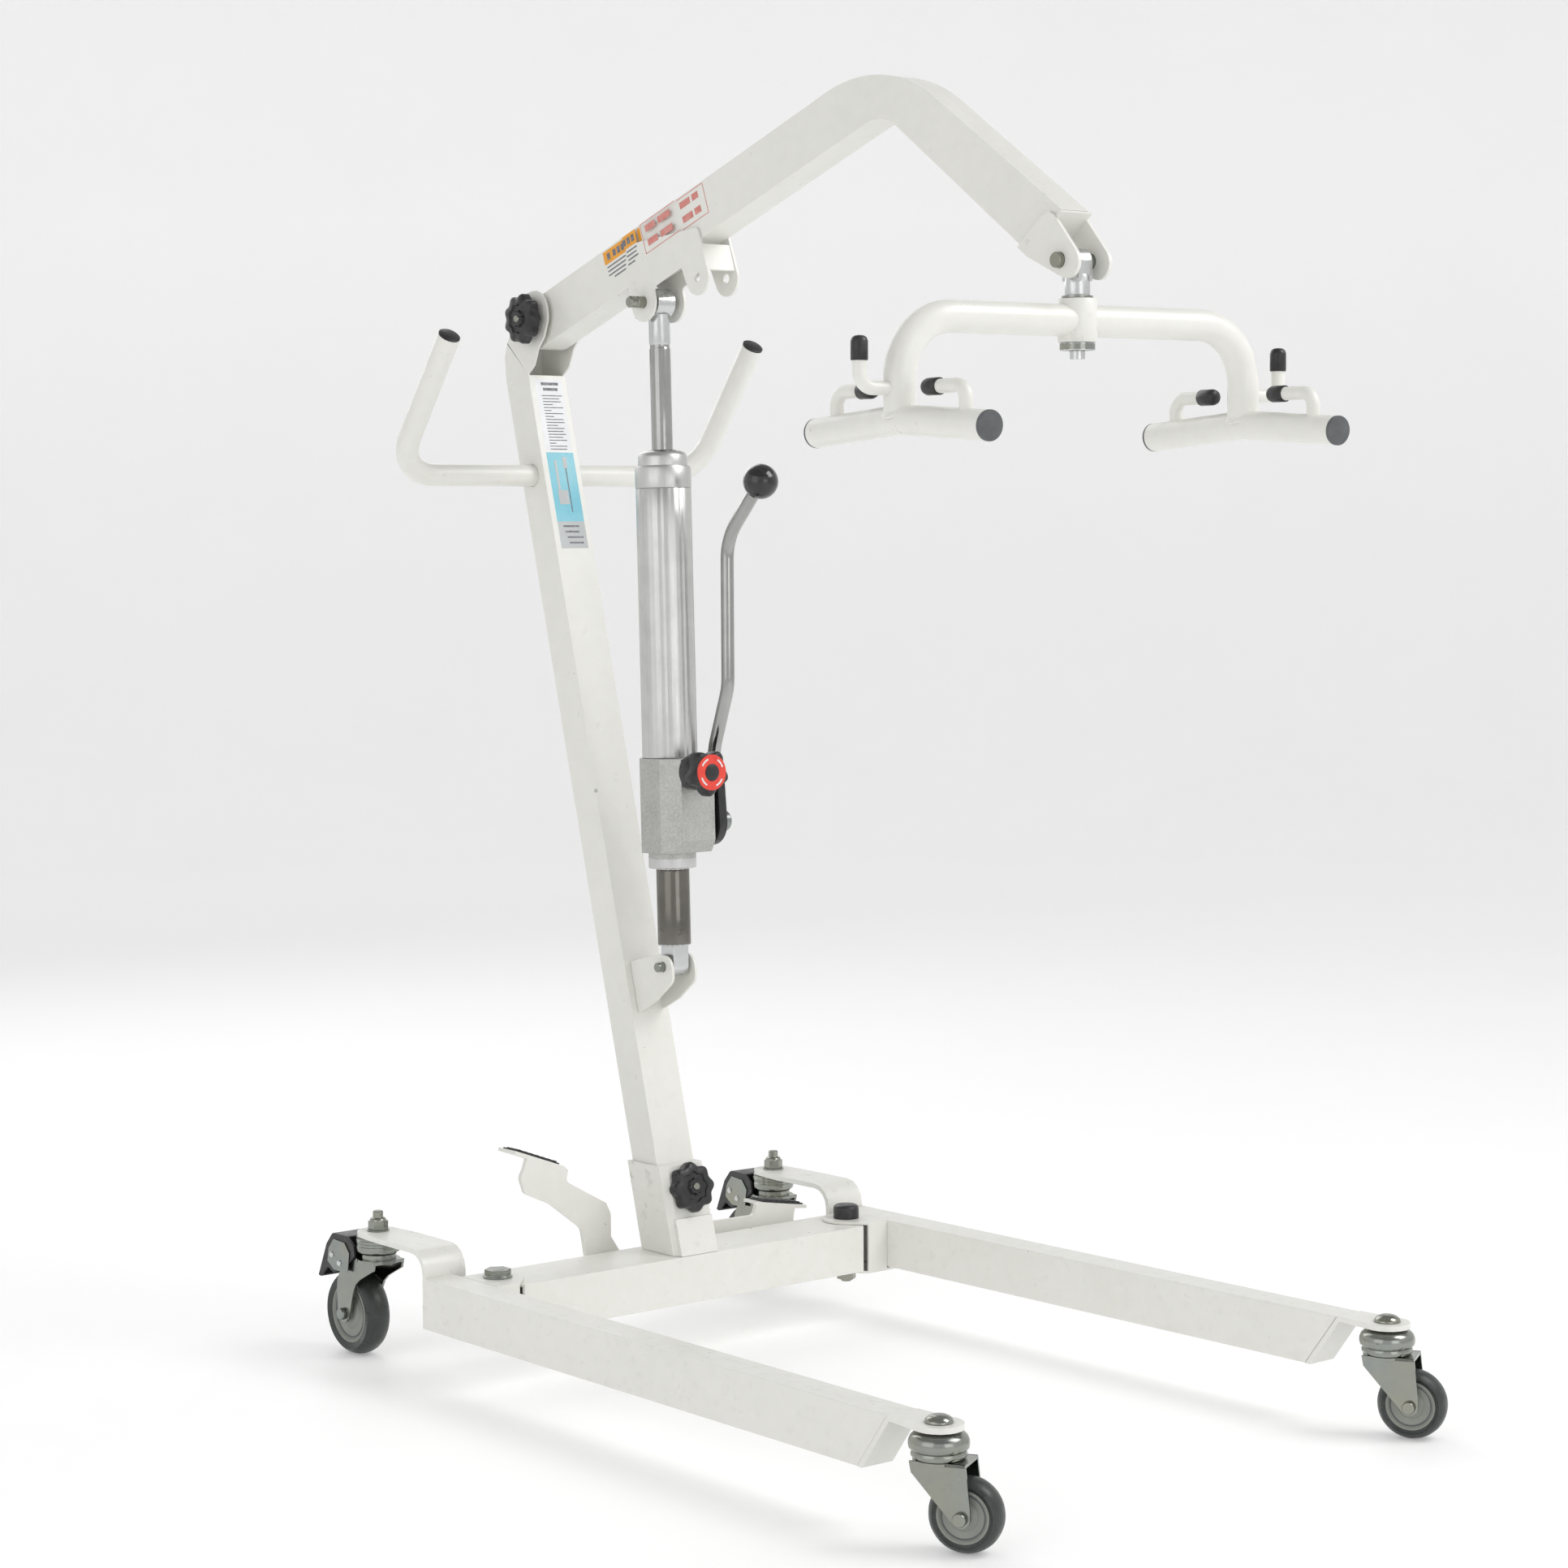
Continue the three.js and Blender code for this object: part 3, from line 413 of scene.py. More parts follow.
# ---------------------------------------------------------------- base, legs, mast and boom
def painted_metalwork():
    edges = {"crossbeam": 1.6, "mast_socket": 1.6, "mast_tube": 2.4, "boom_pump_bracket": 0.8,
             "boom_clevis": 1.0, "lower_pump_bracket": 0.8, "rocker_plate": 0.9}
    for word in ("right", "left"):
        edges.update({f"{word}_leg_tube": 2.2, f"{word}_leg_bracket": 0.8, f"{word}_rear_plate": 0.9,
                      f"{word}_front_plate": 0.9})
    for node, bevel in edges.items():
        soften(node, bevel, PAINT)


def boom():
    half, wall, rise = 19.7, 3, math.tan(math.radians(BOOM_RISE))
    rear, open_depth = -272.7, 70
    across_nose = Vector((24, 0, 21.12))
    nose = Vector((655, 0, 1292))
    into_nose = Vector((-0.816, 0, 0.578))

    def above(x):
        return Vector((x, 0, 1276.6 + (x + 231.8) * rise))

    def below(x):
        return Vector((x, 0, 1218.6 + (x + 213.6) * rise))

    low, high = below(rear + 10), above(rear - 10)
    nose_low, nose_high = nose - across_nose, nose + across_nose
    bend_high, bend_low = above(402), below(400)
    top = fillet(low, high, bend_high, 29, 8) + fillet(high, bend_high, nose_high, 201, 20) + [nose_high]
    bottom = fillet(high, low, bend_low, 29, 8) + fillet(low, bend_low, nose_low, 55, 20) + [nose_low]

    def section(upper, lower, inset, back):
        across = (upper - lower).normalized() * inset
        along = into_nose * back
        reach = Vector((0, half - inset, 0))
        upper, lower = upper - across + along, lower + across + along
        return [upper - reach, upper + reach, lower + reach, lower - reach]

    rings = [section(upper, lower, 0, 0) for upper, lower in zip(top, bottom)]
    rings += [section(nose_high, nose_low, wall, back) for back in (0, open_depth)]
    piece("boom_tube_skin", skin(rings), spot(), "boom", PAINT, ("boom_tube",), 3.0)


def leg_pivots():
    for word, side in (("right", -1), ("left", 1)):
        place = spot(0, side * LEG_PIVOT_Y)
        nut = slab(hexagon(12.2), 48, 60.5)
        stub = lathe([(6, 45), (7, 46), (7, 49)], 24)
        if side < 0:
            head = lathe([(17, 125.2), (17, 127), (15.2, 127.2), (15.2, 129)], 48)
            top = slab(hexagon(15.6), 128.5, 134.6)
            mark = lathe([(9, 134), (8.4, 134.9), (2, 135)], 40)
            bolt = merged(nut, stub, head, top, mark)
            piece("right_pivot_bolt_skin", bolt, place, "base", ZINC, ("right_pivot_bolt",), 0.7)
        else:
            bolt = merged(nut, stub)
            piece("left_pivot_nut", bolt, place, "base", ZINC, ("left_pivot_bolt",), 0.7)
            cap = lathe([(16, 125.2), (16, 137), (15.2, 140), (13, 141.7), (2, 142)], 64)
            piece("left_pivot_cap", cap, place, "base", BLACK)


def bolts_and_pins():
    for node in ("rocker_bolt", "left_tie_rod", "right_tie_rod", "lower_pump_pin", "hanger_pin"):
        soften(node, 0.7, ZINC)
    leg_pivots()
    x, z = UPPER_PIN
    pin = lathe([(1, -45.2), (5.6, -45), (7, -43.6), (7, -36), (6, -35.4), (6, -34), (7, -33.4), (7, 26.5),
                 (6, 28)], 32)
    piece("upper_pin_skin", pin, spot(x, 0, z) @ FACE_LEFT, "boom", ZINC, ("upper_pump_pin",), 0.3)


def clamp_knob(name, place, lobes, radius):
    """A lobed hand knob that stands for the CAD knob of the same name, with its screw's end."""
    grip = scaled(lobed(lobes, radius, 4.2),
                  [(0.80, 0), (0.93, 1.0), (1.0, 3.2), (1.0, 12.0), (0.965, 14.5), (0.88, 16.0), (0.62, 16.4),
                   (0.58, 14.6), (0.36, 14.4), (0.30, 17.4)])
    piece(f"{name}_grip", grip, place, name, BLACK, (name,))
    screw = lathe([(4.5, 12), (4.5, 18.2), (3.9, 19.0), (1.5, 19.1)], 28)
    piece(f"{name}_screw", screw, place, name, ZINC)


def knobs():
    lean = math.degrees(math.atan(MAST_SLOPE))
    socket_front, above_foot = 38, 77
    face = spot(socket_front - MAST_SLOPE * above_foot, 0, MAST_FRONT[1] + above_foot) @ turn("Y", 90 - lean)
    clamp_knob("socket_knob", face @ shift(0.5), 8, 30.3)
    hub = spot(BOOM_PIVOT[0], 0, BOOM_PIVOT[1]) @ FACE_RIGHT
    collar = lathe([(12.5, 28.6), (12.5, 35), (15, 36)], 40)
    piece("boom_knob_neck", collar, hub, "boom_knob", BLACK)
    clamp_knob("boom_knob", hub @ shift(0, 0, 34), 9, 30.8)
    end = merged(slab(hexagon(11), -36, -28.6), lathe([(6, -39), (6, -30)], 24))
    piece("boom_bolt_head", end, hub, "boom_knob", ZINC, (), 0.7)


def handle():
    reach, low, high = 229, (-247, 1054), (-129.6, 1213.8)
    corners = [(high[0], -reach, high[1]), (low[0], -reach, low[1]), (low[0], reach, low[1]),
               (high[0], reach, high[1])]
    bar = sweep(bend_points(corners, 55), 13.5, 48)
    piece("handle_bar_skin", bar, spot(), "mast", PAINT, ("handle_bar",), 0.6)
    lean = math.degrees(math.atan2(119, 162))
    for side, word in ((-1, "right"), (1, "left")):
        plug = lathe([(11.2, -3), (11.6, 0), (13.2, 0.2), (13.2, 1.9), (11.9, 2.7), (0.5, 2.9)], 48)
        place = spot(-128, side * reach, 1216) @ turn("Y", lean) @ shift(0, 0, -2.9)
        piece(f"handle_plug_{word}", plug, place, "mast", BLACK)


# ---------------------------------------------------------------- pump
def fluted(angle, radius):
    """The tube's radius at an angle: eight grooves, and a fine ripple between them."""
    groove = 0.9 if math.cos(8 * angle) > 0.86 else 0.0
    return radius - groove - 0.25 * (0.5 - 0.5 * math.cos(24 * angle))


def around(reach, z, sides=144):
    """A ring of points round Z; reach(angle) is the radius."""
    return [polar(reach(a), a, z) for a in full_turn(sides)]


def pump_tube():
    low, high, bore = 250.6, 570.8, 28
    rows = [(33.0, low)] + [(33.2, 252.5 + 63 * i) for i in range(5)] + [(33.2, 570), (32.6, high)]
    walls = [around(lambda a, r=radius: fluted(a, r), z) for radius, z in rows]
    walls += [around(lambda a: bore, z) for z in (high, low)]
    piece("pump_tube", hoop(walls), PUMP, "pump_body", ALUMINIUM, ("pump_cylinder",))


def pump_body():
    pump_tube()
    cap = [(13.2, 571), (33.2, 571), (33.5, 572), (33.5, 594.5), (32, 597), (29.6, 597.6), (29.4, 600),
           (29.4, 608), (27.5, 612), (23, 614.6), (17.2, 615), (17, 613.4), (13.2, 613.4)]
    piece("pump_cap", ring_of(cap, 96), PUMP, "pump_body", ALUMINIUM)
    wiper = ring_of([(12.9, 613.5), (16.7, 613.5), (16.7, 615.2), (15.4, 616), (13.2, 616)])
    piece("pump_wiper", wiper, PUMP, "pump_body", BLACK)
    screw = lathe([(5.6, -3), (5.6, 1.2), (4.6, 2), (2.8, 2), (2.8, 0.6), (1, 0.5)], 36)
    piece("cap_screw", screw, PUMP @ shift(-31.5, -2, 583) @ FACE_BACK, "pump_body", ZINC)
    soften("pump_block", 2.2, CAST, sharp=30)
    collar = lathe([(26.5, 118.3), (28.2, 119), (28.5, 120), (28.5, 130), (27.6, 131), (27.6, 137.5)], 80)
    piece("pump_collar", collar, PUMP, "pump_body", ALUMINIUM)
    sleeve = lathe([(11, 24), (17.6, 25), (19.7, 26.4), (19.95, 28), (19.95, 116), (18.8, 118.2)], 80)
    piece("pump_sleeve", sleeve, PUMP, "pump_body", SLEEVE)
    soften("pump_foot", 1.0, BRIGHT, "pump_foot_eye")


def pump_rod():
    bar = lathe([(12.6, 400), (12.6, 735), (12.0, 737), (11.7, 738.5), (11.7, 741)], 72)
    piece("pump_rod_bar", bar, PUMP, "pump_rod", CHROME_WITH_PAINTED_REFLECTION, ("pump_rod",))
    neck = lathe([(11.7, 740.6), (12.6, 743), (12.6, 776), (11.6, 777)], 72)
    piece("pump_rod_neck", neck, PUMP, "pump_rod", BRIGHT)
    # The head is a hook that is open to the rear, so the pin can leave it as the boom lifts.
    outer, slot, jaw_end, half, eye_z = 17, 11, -30, 13, 790.3
    hook = [(jaw_end, -outer)] + arc((0, 0), outer, -90, 90, 20) + [(jaw_end, outer), (jaw_end, slot)]
    hook += arc((0, 0), slot, 90, -90, 20) + [(jaw_end, -slot)]
    head = moved(upright(hook, -half, half), Matrix.Translation((0, 0, eye_z)))
    piece("pump_rod_head", head, PUMP, "pump_rod", BRIGHT, (), 0.9)


def release_knob():
    place = PUMP @ shift(46.3, -3, 234) @ FACE_FRONT
    barrel = lathe([(14, 0.4), (21, 1.0), (21.5, 2.4), (21.5, 17), (20, 20)], 72)
    piece("release_barrel", barrel, place, "release_knob", BLACK, ("release_knob",))
    star = scaled(lobed(5, 28.6, 7.4, 0.9),
                  [(0.78, 17), (0.95, 18.2), (1.0, 20.5), (1.0, 32), (0.95, 35), (0.86, 36.4)])
    piece("release_star", star, place, "release_knob", BLACK)
    disc = ring_of([(10.2, 36.0), (21.2, 36.0), (21.2, 37.4), (20.8, 37.8), (10.2, 37.8)])
    piece("release_ring", disc, place, "release_knob", RED)
    centre = lathe([(10, 36), (10, 38.4), (9, 38.9), (2, 38.9)], 48)
    piece("release_centre", centre, place, "release_knob", BLACK)
    width = 40
    marks = [slab(arc((0, 0), 17.6, start, start + width, 8) + arc((0, 0), 15.6, start + width, start, 8),
                  37.7, 38.1) for start in (20, 110, 200, 290)]
    piece("release_marks", merged(*marks), place, "release_knob", PAPER)


def lever():
    y = 40
    corners = [(22, y, 652), (25, y, 726), (52, y, 800), (52, y, 975), (112, y, 1038)]
    rod = sweep(bend_points(corners, 60), 7.9)
    piece("lever_rod", rod, spot(), "pump_lever", CHROME_WITH_PAINTED_REFLECTION, ("pump_lever",))
    socket = arc(LEVER_PIVOT, 28, -190, 10, 25)
    socket += [(37, 700), (35, 716), (31, 720), (18, 720), (13, 716), (10, 700), (-8, 660)]
    piece("lever_socket", upright(socket, 34.5, 46), spot(), "pump_lever", BLACK, (), 1.6)
    boss = lathe([(17, 45.5), (17, 47.5), (12.2, 48), (12.2, 64), (10.5, 66), (2, 66)], 48)
    at_pivot = spot(LEVER_PIVOT[0], 0, LEVER_PIVOT[1]) @ FACE_LEFT
    piece("lever_bolt", boss, at_pivot, "pump_lever", ZINC, (), 0.4)
    ball = lathe([(8.6, -19.0)] + arc((0, 0), 20.8, -62, 83, 29), 72)
    lean = math.degrees(math.atan2(60, 63))
    place = spot(115.6, y, 1042) @ turn("Y", lean)
    piece("lever_knob", ball, place, "pump_lever", GLOSS, ("lever_ball",))


# ---------------------------------------------------------------- hanger and cradle
def hanger():
    place = spot(HANGER_X)
    soften("hanger", 0.8, BRIGHT, "hanger_eye")
    shank = [(13, 1226), (13.2, 1227), (13.2, 1245), (12.4, 1247)]
    piece("hanger_shank", lathe(shank), place, "hanger", BRIGHT)
    washer = [(9, 1222.8), (16.4, 1223), (16.4, 1225), (12, 1225.6)]
    piece("hanger_washer", lathe(washer), place, "hanger", ZINC)
    foot = [(8, 1168), (17.6, 1169), (18.5, 1170), (18.5, 1175.6), (17.6, 1176.6), (8, 1176.7)]
    piece("hanger_nut", lathe(foot), place, "hanger", ZINC)


def tip(name, point, direction, place):
    """A black push-on cap over a hook's end; point is the far end."""
    radius, length = 8.8, 25
    shape = [(radius - 0.6, -length), (radius, -length + 0.8), (radius, -6), (radius - 1.2, -2.4),
             (radius - 4, -0.5), (0.5, 0)]
    cap = moved(lathe(shape, 40), Matrix.Translation(point) @ facing(direction))
    piece(name, cap, place, "cradle", BLACK)


def hook(name, corners, bend, place):
    bar = sweep(bend_points(corners, bend), 7.2, 32)
    piece(name, bar, place, "cradle", PAINT)


def cross_tube(side, word, y, place):
    """One of the two tubes across the bar's ends, with its end caps and three hooks."""
    arm, tube_z, droop, hook_z = 151, 1095, 10, 1126
    axis = [(3 - arm, y, tube_z - 9.8), (0, y, tube_z), (arm - 3, y, tube_z - 9.8)]
    tube = sweep(bend_points(axis, 80, 1.5), 15.4, 56)
    node = f"{word}_cross_tube"
    piece(f"{node}_skin", tube, place, "cradle", PAINT, (node,), 0.4)
    weld = ring_of([(16.2, -1.5), (18.6, -2.4), (19.2, 0), (17.4, 2.2), (16.2, 3.4)], 64)
    for vert in weld.verts:
        vert.co.z += 12.5 - abs(vert.co.y) * 0.62
    piece(f"{word}_cradle_weld", weld, place @ shift(0, y, tube_z + 1.5), "cradle", PAINT)
    reach = side * 275.5
    hook(f"{word}_end_hook", [(0, y + side * 15, hook_z), (0, reach, hook_z), (0, reach, 1170)], 16, place)
    tip(f"{word}_end_hook_tip", (0, reach, 1178), (0, 0, 1), place)
    for end, label in ((-1, "rear"), (1, "front")):
        post = [(end * 111, y, tube_z + 4), (end * 111, y, hook_z), (end * 51, y, hook_z)]
        hook(f"{word}_{label}_hook", post, 15, place)
        tip(f"{word}_{label}_hook_tip", (end * 43, y, hook_z), (-end, 0, 0), place)
        cap = lathe([(13, -3.6), (15.5, -3.4), (15.5, -0.9), (14.6, 0.2), (12.6, 0.5), (0.5, 0.6)], 56)
        slope = math.degrees(math.atan2(droop, arm)) * end
        at_end = place @ shift(end * arm, y, tube_z - droop) @ turn("Y", end * 90 + slope) @ shift(0, 0, -0.6)
        piece(f"{word}_{label}_cap", cap, at_end, "cradle", DARK_CAP)


def cradle():
    place = spot(HANGER_X) @ turn("Z", CRADLE_TURN)
    half, bar_z, foot_z = 226, 1199.5, 1098
    corners = [(0, -half, foot_z), (0, -half, bar_z), (0, half, bar_z), (0, half, foot_z)]
    bar = sweep(bend_points(corners, 62), 16.75, 56)
    piece("cradle_bar_skin", bar, place, "cradle", PAINT, ("cradle_bar",), 0.4)
    collar = [(9, 1177), (19.6, 1177.2), (20.5, 1178.4), (20.5, 1221), (19.6, 1222.3), (9, 1222.5)]
    piece("cradle_collar", lathe(collar, 80), place, "cradle", PAINT)
    for side, word in ((-1, "right"), (1, "left")):
        cross_tube(side, word, side * half, place)


# ---------------------------------------------------------------- casters
def joint(name):
    return next(j for j in frame["joints"] if j["name"] == name)


def wheel_frame(prefix):
    """The wheel's centre with Z along its axle."""
    roll = joint(f"{prefix}_roll")
    return Matrix.Translation(roll["pos_m"]) @ facing(roll["axis"])


def both_sides(outline):
    """A wheel's outline of [radius, height] pairs followed back along its other side."""
    return outline + [(r, -h) for r, h in reversed(outline)]


def wheel(prefix, radius):
    place = wheel_frame(prefix)
    body = f"{prefix}_wheel"
    rim = radius * 0.7
    shoulder = [(rim, 13.6), (rim + 2.5, 14.6), (radius - 7, 16), (radius - 4.4, 13.6), (radius - 2, 9.8),
                (radius - 0.5, 5)]
    tyre = ring_of([(r, -h) for r, h in shoulder] + [(radius, 0)] + shoulder[::-1], 112)
    piece(f"{prefix}_tyre_skin", tyre, place, body, TYRE, (f"{prefix}_tyre",))
    face = [(rim + 0.2, 13.8), (rim - 1.4, 14.4), (rim - 3, 13.4), (rim - 4, 11.8), (rim - 6, 11.6),
            (rim * 0.55, 11.0), (rim * 0.5, 12.4), (rim * 0.42, 13.6), (9.4, 14.2), (9, 15), (4.6, 15)]
    hub = ring_of(both_sides(face), 96)
    piece(f"{prefix}_hub_skin", hub, place, body, HUB, (f"{prefix}_hub",))
    # Two thin dark rings at the foot of the rim's inner wall on each face of the hub: painted shade in the
    # groove there.
    inner, outer = rim * 0.80, rim * 0.86
    for side, word in ((1, "out"), (-1, "in")):
        section = [(inner, 11.2), (outer, 11.2), (outer, 12.1), (inner, 12.0)]
        groove = ring_of([(r, h * side) for r, h in section], 96)
        piece(f"{prefix}_hub_groove_shade_{word}", groove, place, body, DARK_CAP)
    bolt = both_sides([(1.5, 27), (6.4, 26.9), (7, 26), (7, 22), (4, 21.8)])[::-1]
    axle = lathe(bolt, 24)
    piece(f"{prefix}_axle_skin", axle, place, f"{prefix}_caster", ZINC, (f"{prefix}_axle",))


def fork_frame(prefix):
    """The swivel's axis on the floor, with X towards the wheel."""
    swivel, roll = joint(f"{prefix}_swivel")["pos_m"], joint(f"{prefix}_roll")["pos_m"]
    heading = math.atan2(roll[1] - swivel[1], roll[0] - swivel[0])
    return Matrix.Translation((swivel[0], swivel[1], 0)) @ Matrix.Rotation(heading, 4, "Z")


def cheek(outline, side, inner, thickness):
    """An outline in the fork's X-Z plane as a plate on one side of the wheel."""
    return upright(outline, *sorted((side * inner, side * (inner + thickness))))


def front_fork(prefix, place):
    half, front = 21.5, 33
    outline = [(-24, 91), (-22, 80)] + arc((28, 38), 9.6, -140, -8, 11) + [(37.6, 48), (front, 91)]
    crown = [(front, half), (12, half)] + arc((0, 0), 26, 60, 300, 20) + [(12, -half), (front, -half)]
    fork = merged(*[cheek(outline, side, 18.5, 3) for side in (-1, 1)], slab(crown, 87.5, 91))
    piece(f"{prefix}_fork_skin", fork, place, f"{prefix}_caster", ZINC, (f"{prefix}_fork",), 0.9)
    race = [(18, 90), (25.6, 91.4), (27.5, 93.6), (27.8, 96), (26.6, 98.4), (27.4, 99.6), (29.6, 101.6),
            (30.2, 105), (30, 109), (28.2, 113), (25, 116), (20, 117.4), (12, 117.7)]
    piece(f"{prefix}_race", lathe(race, 80), place, f"{prefix}_caster", ZINC)


def brake_plates(prefix, place):
    """The two thin plates beside the brake pedal, with their rivets."""
    outline = [(28, 104), (24, 128), (34, 139), (58, 140.5), (69, 128), (72, 112), (58, 103)]
    body = f"{prefix}_caster"
    for side, word in ((-1, "right"), (1, "left")):
        plate = cheek(outline, side, 25.3, 1.1)
        piece(f"{prefix}_brake_plate_{word}", plate, place, body, ZINC, (), 0.4)
        for number, (x, z) in enumerate(((45.5, 113), (62, 121))):
            head = lathe([(3.8, 0), (3.8, 0.8), (3, 1.8), (1.2, 2.2)], 24)
            at_hole = place @ shift(x, side * 26.2, z) @ turn("X", -90 * side)
            piece(f"{prefix}_rivet_{word}_{number}", head, at_hole, body, BRIGHT)


def rear_fork(prefix, place):
    soften(f"{prefix}_fork", 1.1, ZINC, sharp=42)
    brake_plates(prefix, place)
    soften(f"{prefix}_brake", 1.4, BLACK)
    race = [(17, 128), (21.5, 129), (25, 132), (26.4, 135.5), (26.4, 139), (24.4, 141), (26.4, 143),
            (26.4, 146.2), (23, 148.8), (12, 149.4)]
    piece(f"{prefix}_race", lathe(race, 80), place, f"{prefix}_caster", ZINC)


def front_stem():
    washer = lathe([(8, 117.8), (14, 118), (14, 119.2), (8, 119.3)], 40)
    dome = lathe([(14.2, 125.7), (14.5, 126.4), (13.6, 129), (11, 131.4), (7.4, 133), (2, 133.6)], 56)
    return merged(washer, dome)


def rear_stem():
    spacer = lathe([(7, 149.4), (11.5, 149.5), (11.5, 149.9), (7, 150)], 40)
    washer = lathe([(13.2, 156.3), (13.2, 157.8), (9, 158)], 48)
    nut = slab(hexagon(11.9), 158, 168)
    end = lathe([(10, 167.8), (9.6, 170), (8.2, 171.6), (6.2, 172), (6.2, 179), (5.2, 180)], 40)
    return merged(spacer, washer, nut, end)


def casters():
    for word in ("right", "left"):
        for end, radius, fork, stem in (("front", FRONT_WHEEL, front_fork, front_stem),
                                        ("rear", REAR_WHEEL, rear_fork, rear_stem)):
            prefix = f"{word}_{end}"
            place = fork_frame(prefix)
            wheel(prefix, radius)
            fork(prefix, place)
            piece(f"{prefix}_stem_skin", stem(), place, f"{word}_leg", ZINC, (f"{prefix}_stem",), 0.4)


def rear_plate_bolts():
    for side, word in ((-1, "right"), (1, "left")):
        head = lathe([(10, 0), (10, 1.4), (8.6, 1.8), (8.4, 5), (6.6, 7.2), (1, 8)], 40)
        leg = spot(0, side * LEG_PIVOT_Y) @ turn("Z", side * LEG_SPLAY)
        behind_plate = leg @ shift(-53.3, side * 52, 94) @ FACE_BACK
        piece(f"{word}_plate_bolt", head, behind_plate, f"{word}_leg", ZINC)


# ---------------------------------------------------------------- pads and printed panels
def pedal_pads():
    tilt = spot(0, 0, ROCKER_Z) @ turn("X", ROCKER_TILT)
    slope = math.tan(math.radians(5.4))
    for side, word in ((-1, "near"), (1, "far")):
        inner, outer = side * 163, side * 228
        outline = [(-92, inner), (-63, inner), (-63, outer), (-92, outer)]
        base = slab(outline if side > 0 else outline[::-1], 0, 1.6)
        ribs = [slab(box_outline(-90, side * (168 + 9 * i) - 2.2, 25, 4.4), 1.4, 3.0) for i in range(7)]
        pad = merged(base, *ribs)
        for vert in pad.verts:
            vert.co.z += 100.0 + (abs(vert.co.y) - 157.7) * slope
        piece(f"{word}_pedal_pad", pad, tilt, "rocker", BLACK, (), 0.4)


def bars(rows, thickness):
    """Thin raised bars in place of print: (x, y, width, height) each."""
    return merged(*[slab(box_outline(*row), 0, thickness) for row in rows])


def mast_panels():
    """Blank panels and bars up the mast's front face: X to the right seen from the front, Y up the mast."""
    sunk_slope = 0.2596              # a little more than the mast's, so the panels start just inside its face
    middle_z = 1065
    front = MAST_FRONT[0] - sunk_slope * (middle_z - MAST_FRONT[1])
    lean = math.degrees(math.atan(sunk_slope))
    place = spot(front, 0, middle_z) @ turn("Y", -lean) @ turn("Z", 90) @ FACE_RIGHT
    panels = (("white", PAPER, 20, 92), ("blue", BLUE, -70, 88), ("grey", GREY, -104, 34))
    for word, material, low, height in panels:
        panel = bars([(-20, low, 41, height)], 0.15)
        piece(f"mast_panel_{word}", panel, place, "mast", material)
    widths = [30, 25, 27, 14, 29, 11, 28, 13, 27, 28, 17, 26, 24, 27, 22, 27, 10, 26, 25]
    lines = [(-11, 104, 26, 3.6), (-9, 97, 22, 3.6)]
    lines += [(-12, 90 - 3.8 * i, width, 1.1) for i, width in enumerate(widths)]
    lines += [(-12 + 2 * i, -77 - 7 * i, 24 - 3 * (i % 2), 2.2) for i in range(4)]
    piece("mast_print", bars(lines, 0.3), place, "mast", INK)
    blocks = [(-10, -30, 3.4, 38), (-11.5, -48, 15, 18), (3, -2, 6, 14)]
    piece("mast_pictogram", bars(blocks, 0.3), place, "mast", GREY)
    piece("mast_pictogram_line", bars([(5.2, -58, 1.4, 56)], 0.35), place, "mast", INK)


def split_bars(rows, foot):
    """Short stretches of the bars, in two lists: those on the boom tube and those over its bracket's plate.

    foot is the lowest edge of the printed group, which decides for all the bars above it.
    """
    plate_rear = -34
    on_tube, on_plate = [], []
    for x, y, width, height in rows:
        count = max(1, round(width / 5))
        step = width / count
        for i in range(count):
            start = x + width * i / count
            plate_top = -14.6 - 0.26 * (start + 33.4)
            clear = foot > plate_top + 0.5 or start + step < plate_rear
            (on_tube if clear else on_plate).append((start, y, step, height))
    return on_tube, on_plate


def boom_panels():
    """Bars on the boom's right side: X along the boom, Y up across it; the origin is on its top edge."""
    tube = spot(-31, -19.72, 1348.6) @ turn("Y", -BOOM_RISE) @ FACE_RIGHT
    plate = tube @ shift(0, 0, 3.6)
    left, right, low, high, line = 0, 121, -40, -3.4, 0.9
    frame_lines = [(left, low, right, line), (left, high, right, line), (left, low, line, high - low),
                   (right, low, line, high - low)]
    words = [(x, y, width, 8) for y in (-15.5, -33) for x, width in ((8, 20), (34, 24), (74, 20), (98, 12))]
    fine_print = [(-80, -24, 66, 1.7), (-80, -29, 64, 1.7), (-80, -34, 66, 1.7), (-70, -39, 48, 1.7)]
    marks = [(-76, -15, 6, 8)] + [(-64 + 8.6 * i, -15, 6, 8) for i in range(6)]
    for name, rows, material, thickness, foot in (("boom_band", [(-83, -19, 77, 16)], ORANGE, 0.22, -19),
                                                  ("boom_mark", marks, INK, 0.36, -19),
                                                  ("boom_fine_print", fine_print, INK, 0.22, -39),
                                                  ("boom_load_frame", frame_lines, PALE_RED, 0.22, low),
                                                  ("boom_load_bars", words, PALE_RED, 0.22, low)):
        on_tube, on_plate = split_bars(rows, foot)
        for word, group, place in (("tube", on_tube, tube), ("plate", on_plate, plate)):
            if group:
                piece(f"{name}_{word}", bars(group, thickness), place, "boom", material)


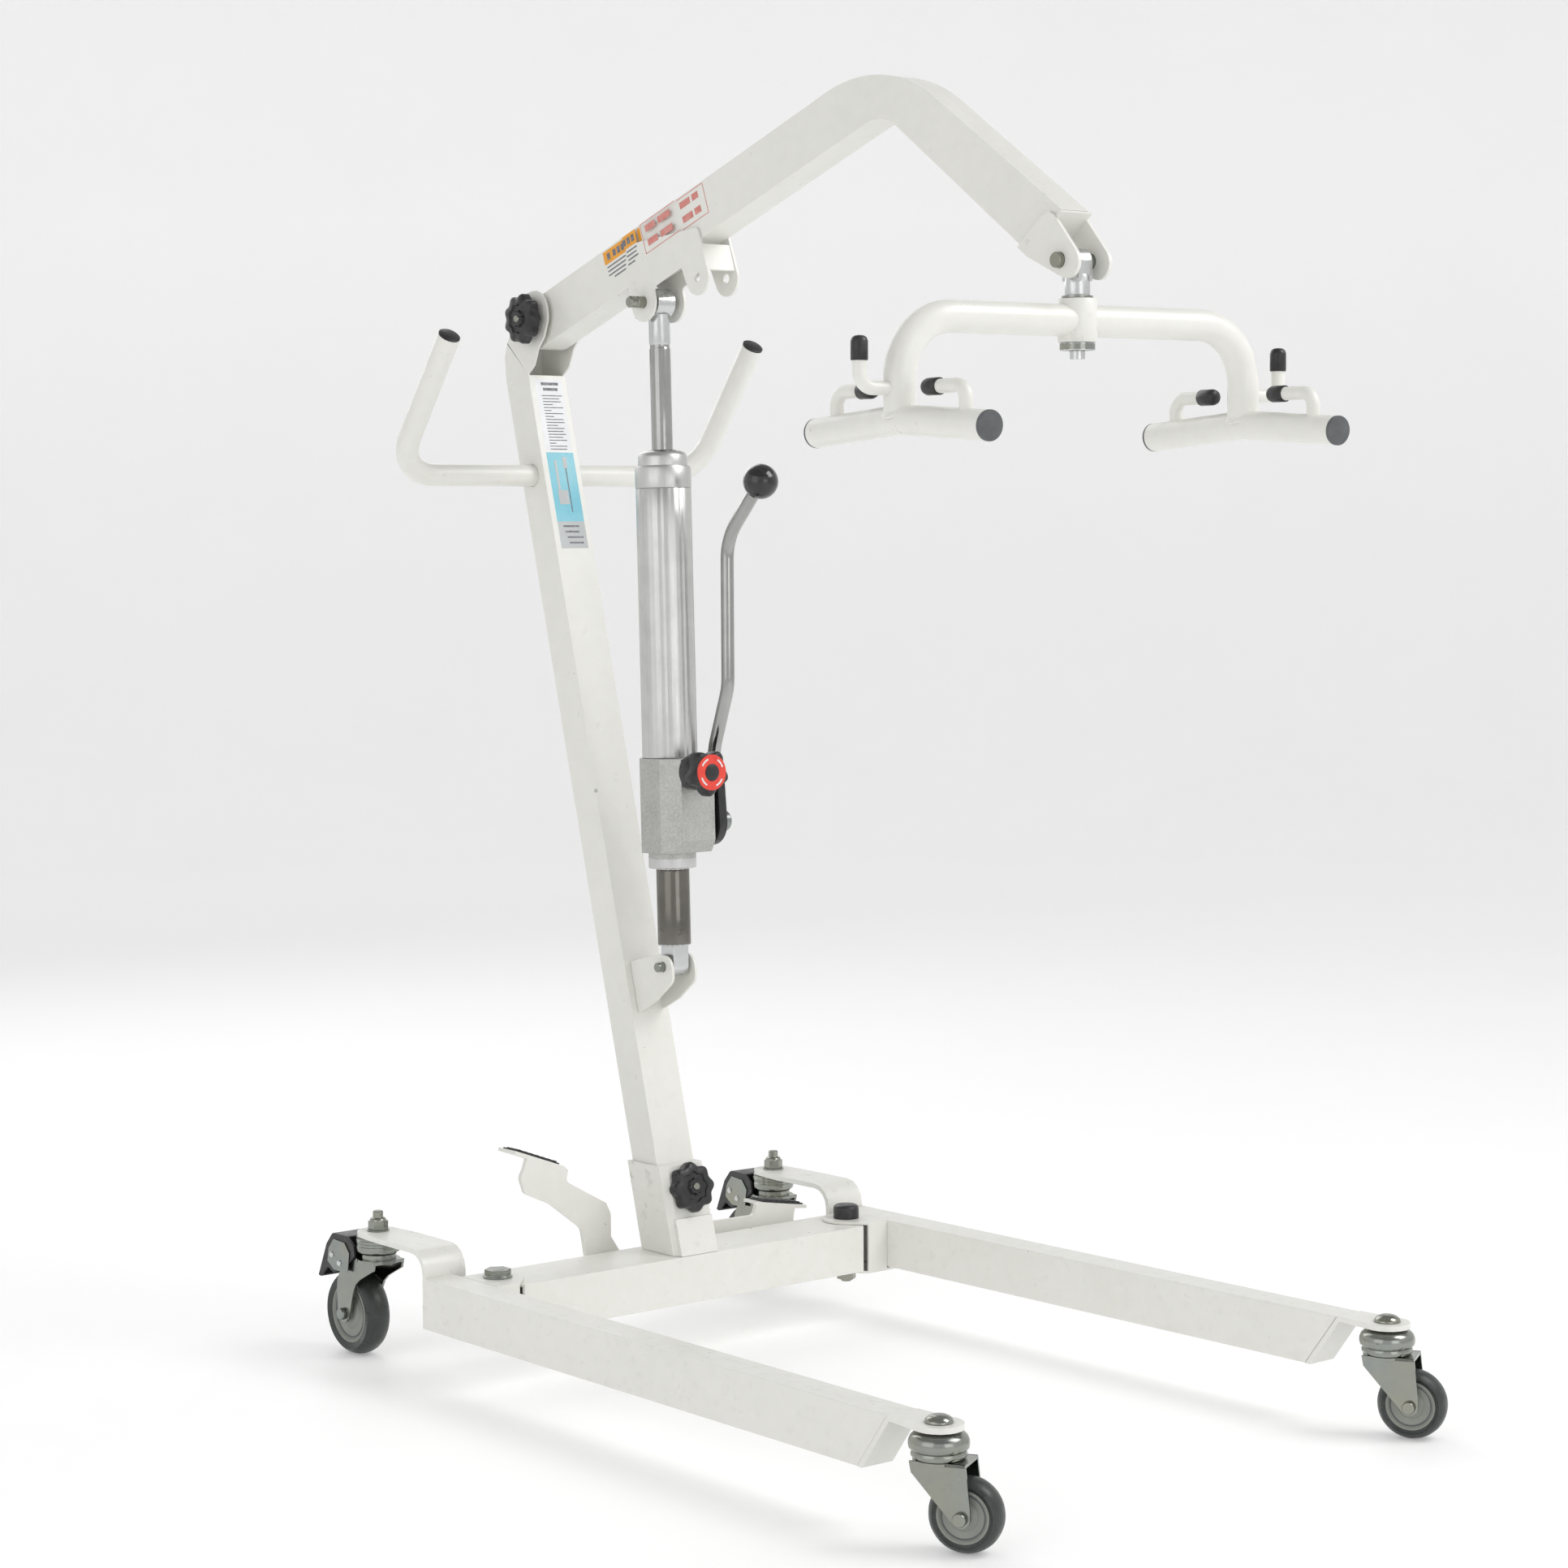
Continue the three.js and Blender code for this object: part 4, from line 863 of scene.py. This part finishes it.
# ---------------------------------------------------------------- stage
def stage():
    """A round pale floor that curves up into a wall on every side."""
    radius, bend, top = 8.0, 2.0, 6.0
    profile = [(0.02, 0.0), (3.0, 0.0)] + arc((radius - bend, bend), bend, -90, 0, 10) + [(radius, top)]
    bm = lathe(profile, 96)
    bm.faces.ensure_lookup_table()
    open_top = bm.faces[-1]
    bmesh.ops.delete(bm, geom=[open_top], context="FACES_ONLY")
    bmesh.ops.reverse_faces(bm, faces=bm.faces[:])
    mesh = bpy.data.meshes.new("floor")
    bm.to_mesh(mesh)
    bm.free()
    mesh.shade_smooth()
    floor = bpy.data.objects.new("floor", mesh)
    bpy.context.scene.collection.objects.link(floor)
    surface = Surface("pale_floor", (0.84, 0.84, 0.84), 0.6).mottled(3, (0.82, 0.82, 0.82), 0.5)
    surface.shader.inputs["Emission Color"].default_value = (1, 1, 1, 1)
    surface.shader.inputs["Emission Strength"].default_value = 0.24
    mesh.materials.append(surface.finish(0.05, 20, 0.02, 200))


def light(name, place, aim, size, power):
    data = bpy.data.lights.new(name, "AREA")
    data.size = size
    data.energy = power
    lamp = bpy.data.objects.new(name, data)
    lamp.location = place
    lamp.rotation_euler = (Vector(aim) - Vector(place)).to_track_quat("-Z", "Y").to_euler()
    bpy.context.scene.collection.objects.link(lamp)


def lights():
    aim = (0, 0, 0.7)
    light("key", (2.2, 1.8, 3.4), aim, 2.0, 62)
    light("fill", (0.6, -3.8, 1.9), aim, 3.0, 17)
    light("rim", (-3.0, 0.6, 2.6), aim, 2.4, 26)
    light("front", (4.0, -0.6, 1.4), aim, 2.0, 12)
    world = bpy.data.worlds.new("studio")
    world.use_nodes = True
    world.node_tree.nodes["Background"].inputs["Color"].default_value = (1, 1, 1, 1)
    world.node_tree.nodes["Background"].inputs["Strength"].default_value = 0.42
    bpy.context.scene.world = world
    bpy.context.scene.view_settings.view_transform = "Standard"


def camera():
    data = bpy.data.cameras.new("camera")
    data.sensor_width = 36
    data.lens = 80.6832
    eye = bpy.data.objects.new("camera", data)
    heading, pitch, roll = 50.29, 4.146, 0.329
    base = turn("Z", heading) @ turn("X", 90 - pitch) @ turn("Z", -roll)
    eye.matrix_world = spot(3302.8, -2574.2, 986.2) @ base
    bpy.context.scene.collection.objects.link(eye)
    bpy.context.scene.camera = eye


camera()
stage()
lights()
painted_metalwork()
boom()
bolts_and_pins()
knobs()
handle()
pump_body()
pump_rod()
release_knob()
lever()
hanger()
cradle()
casters()
rear_plate_bolts()
pedal_pads()
mast_panels()
boom_panels()
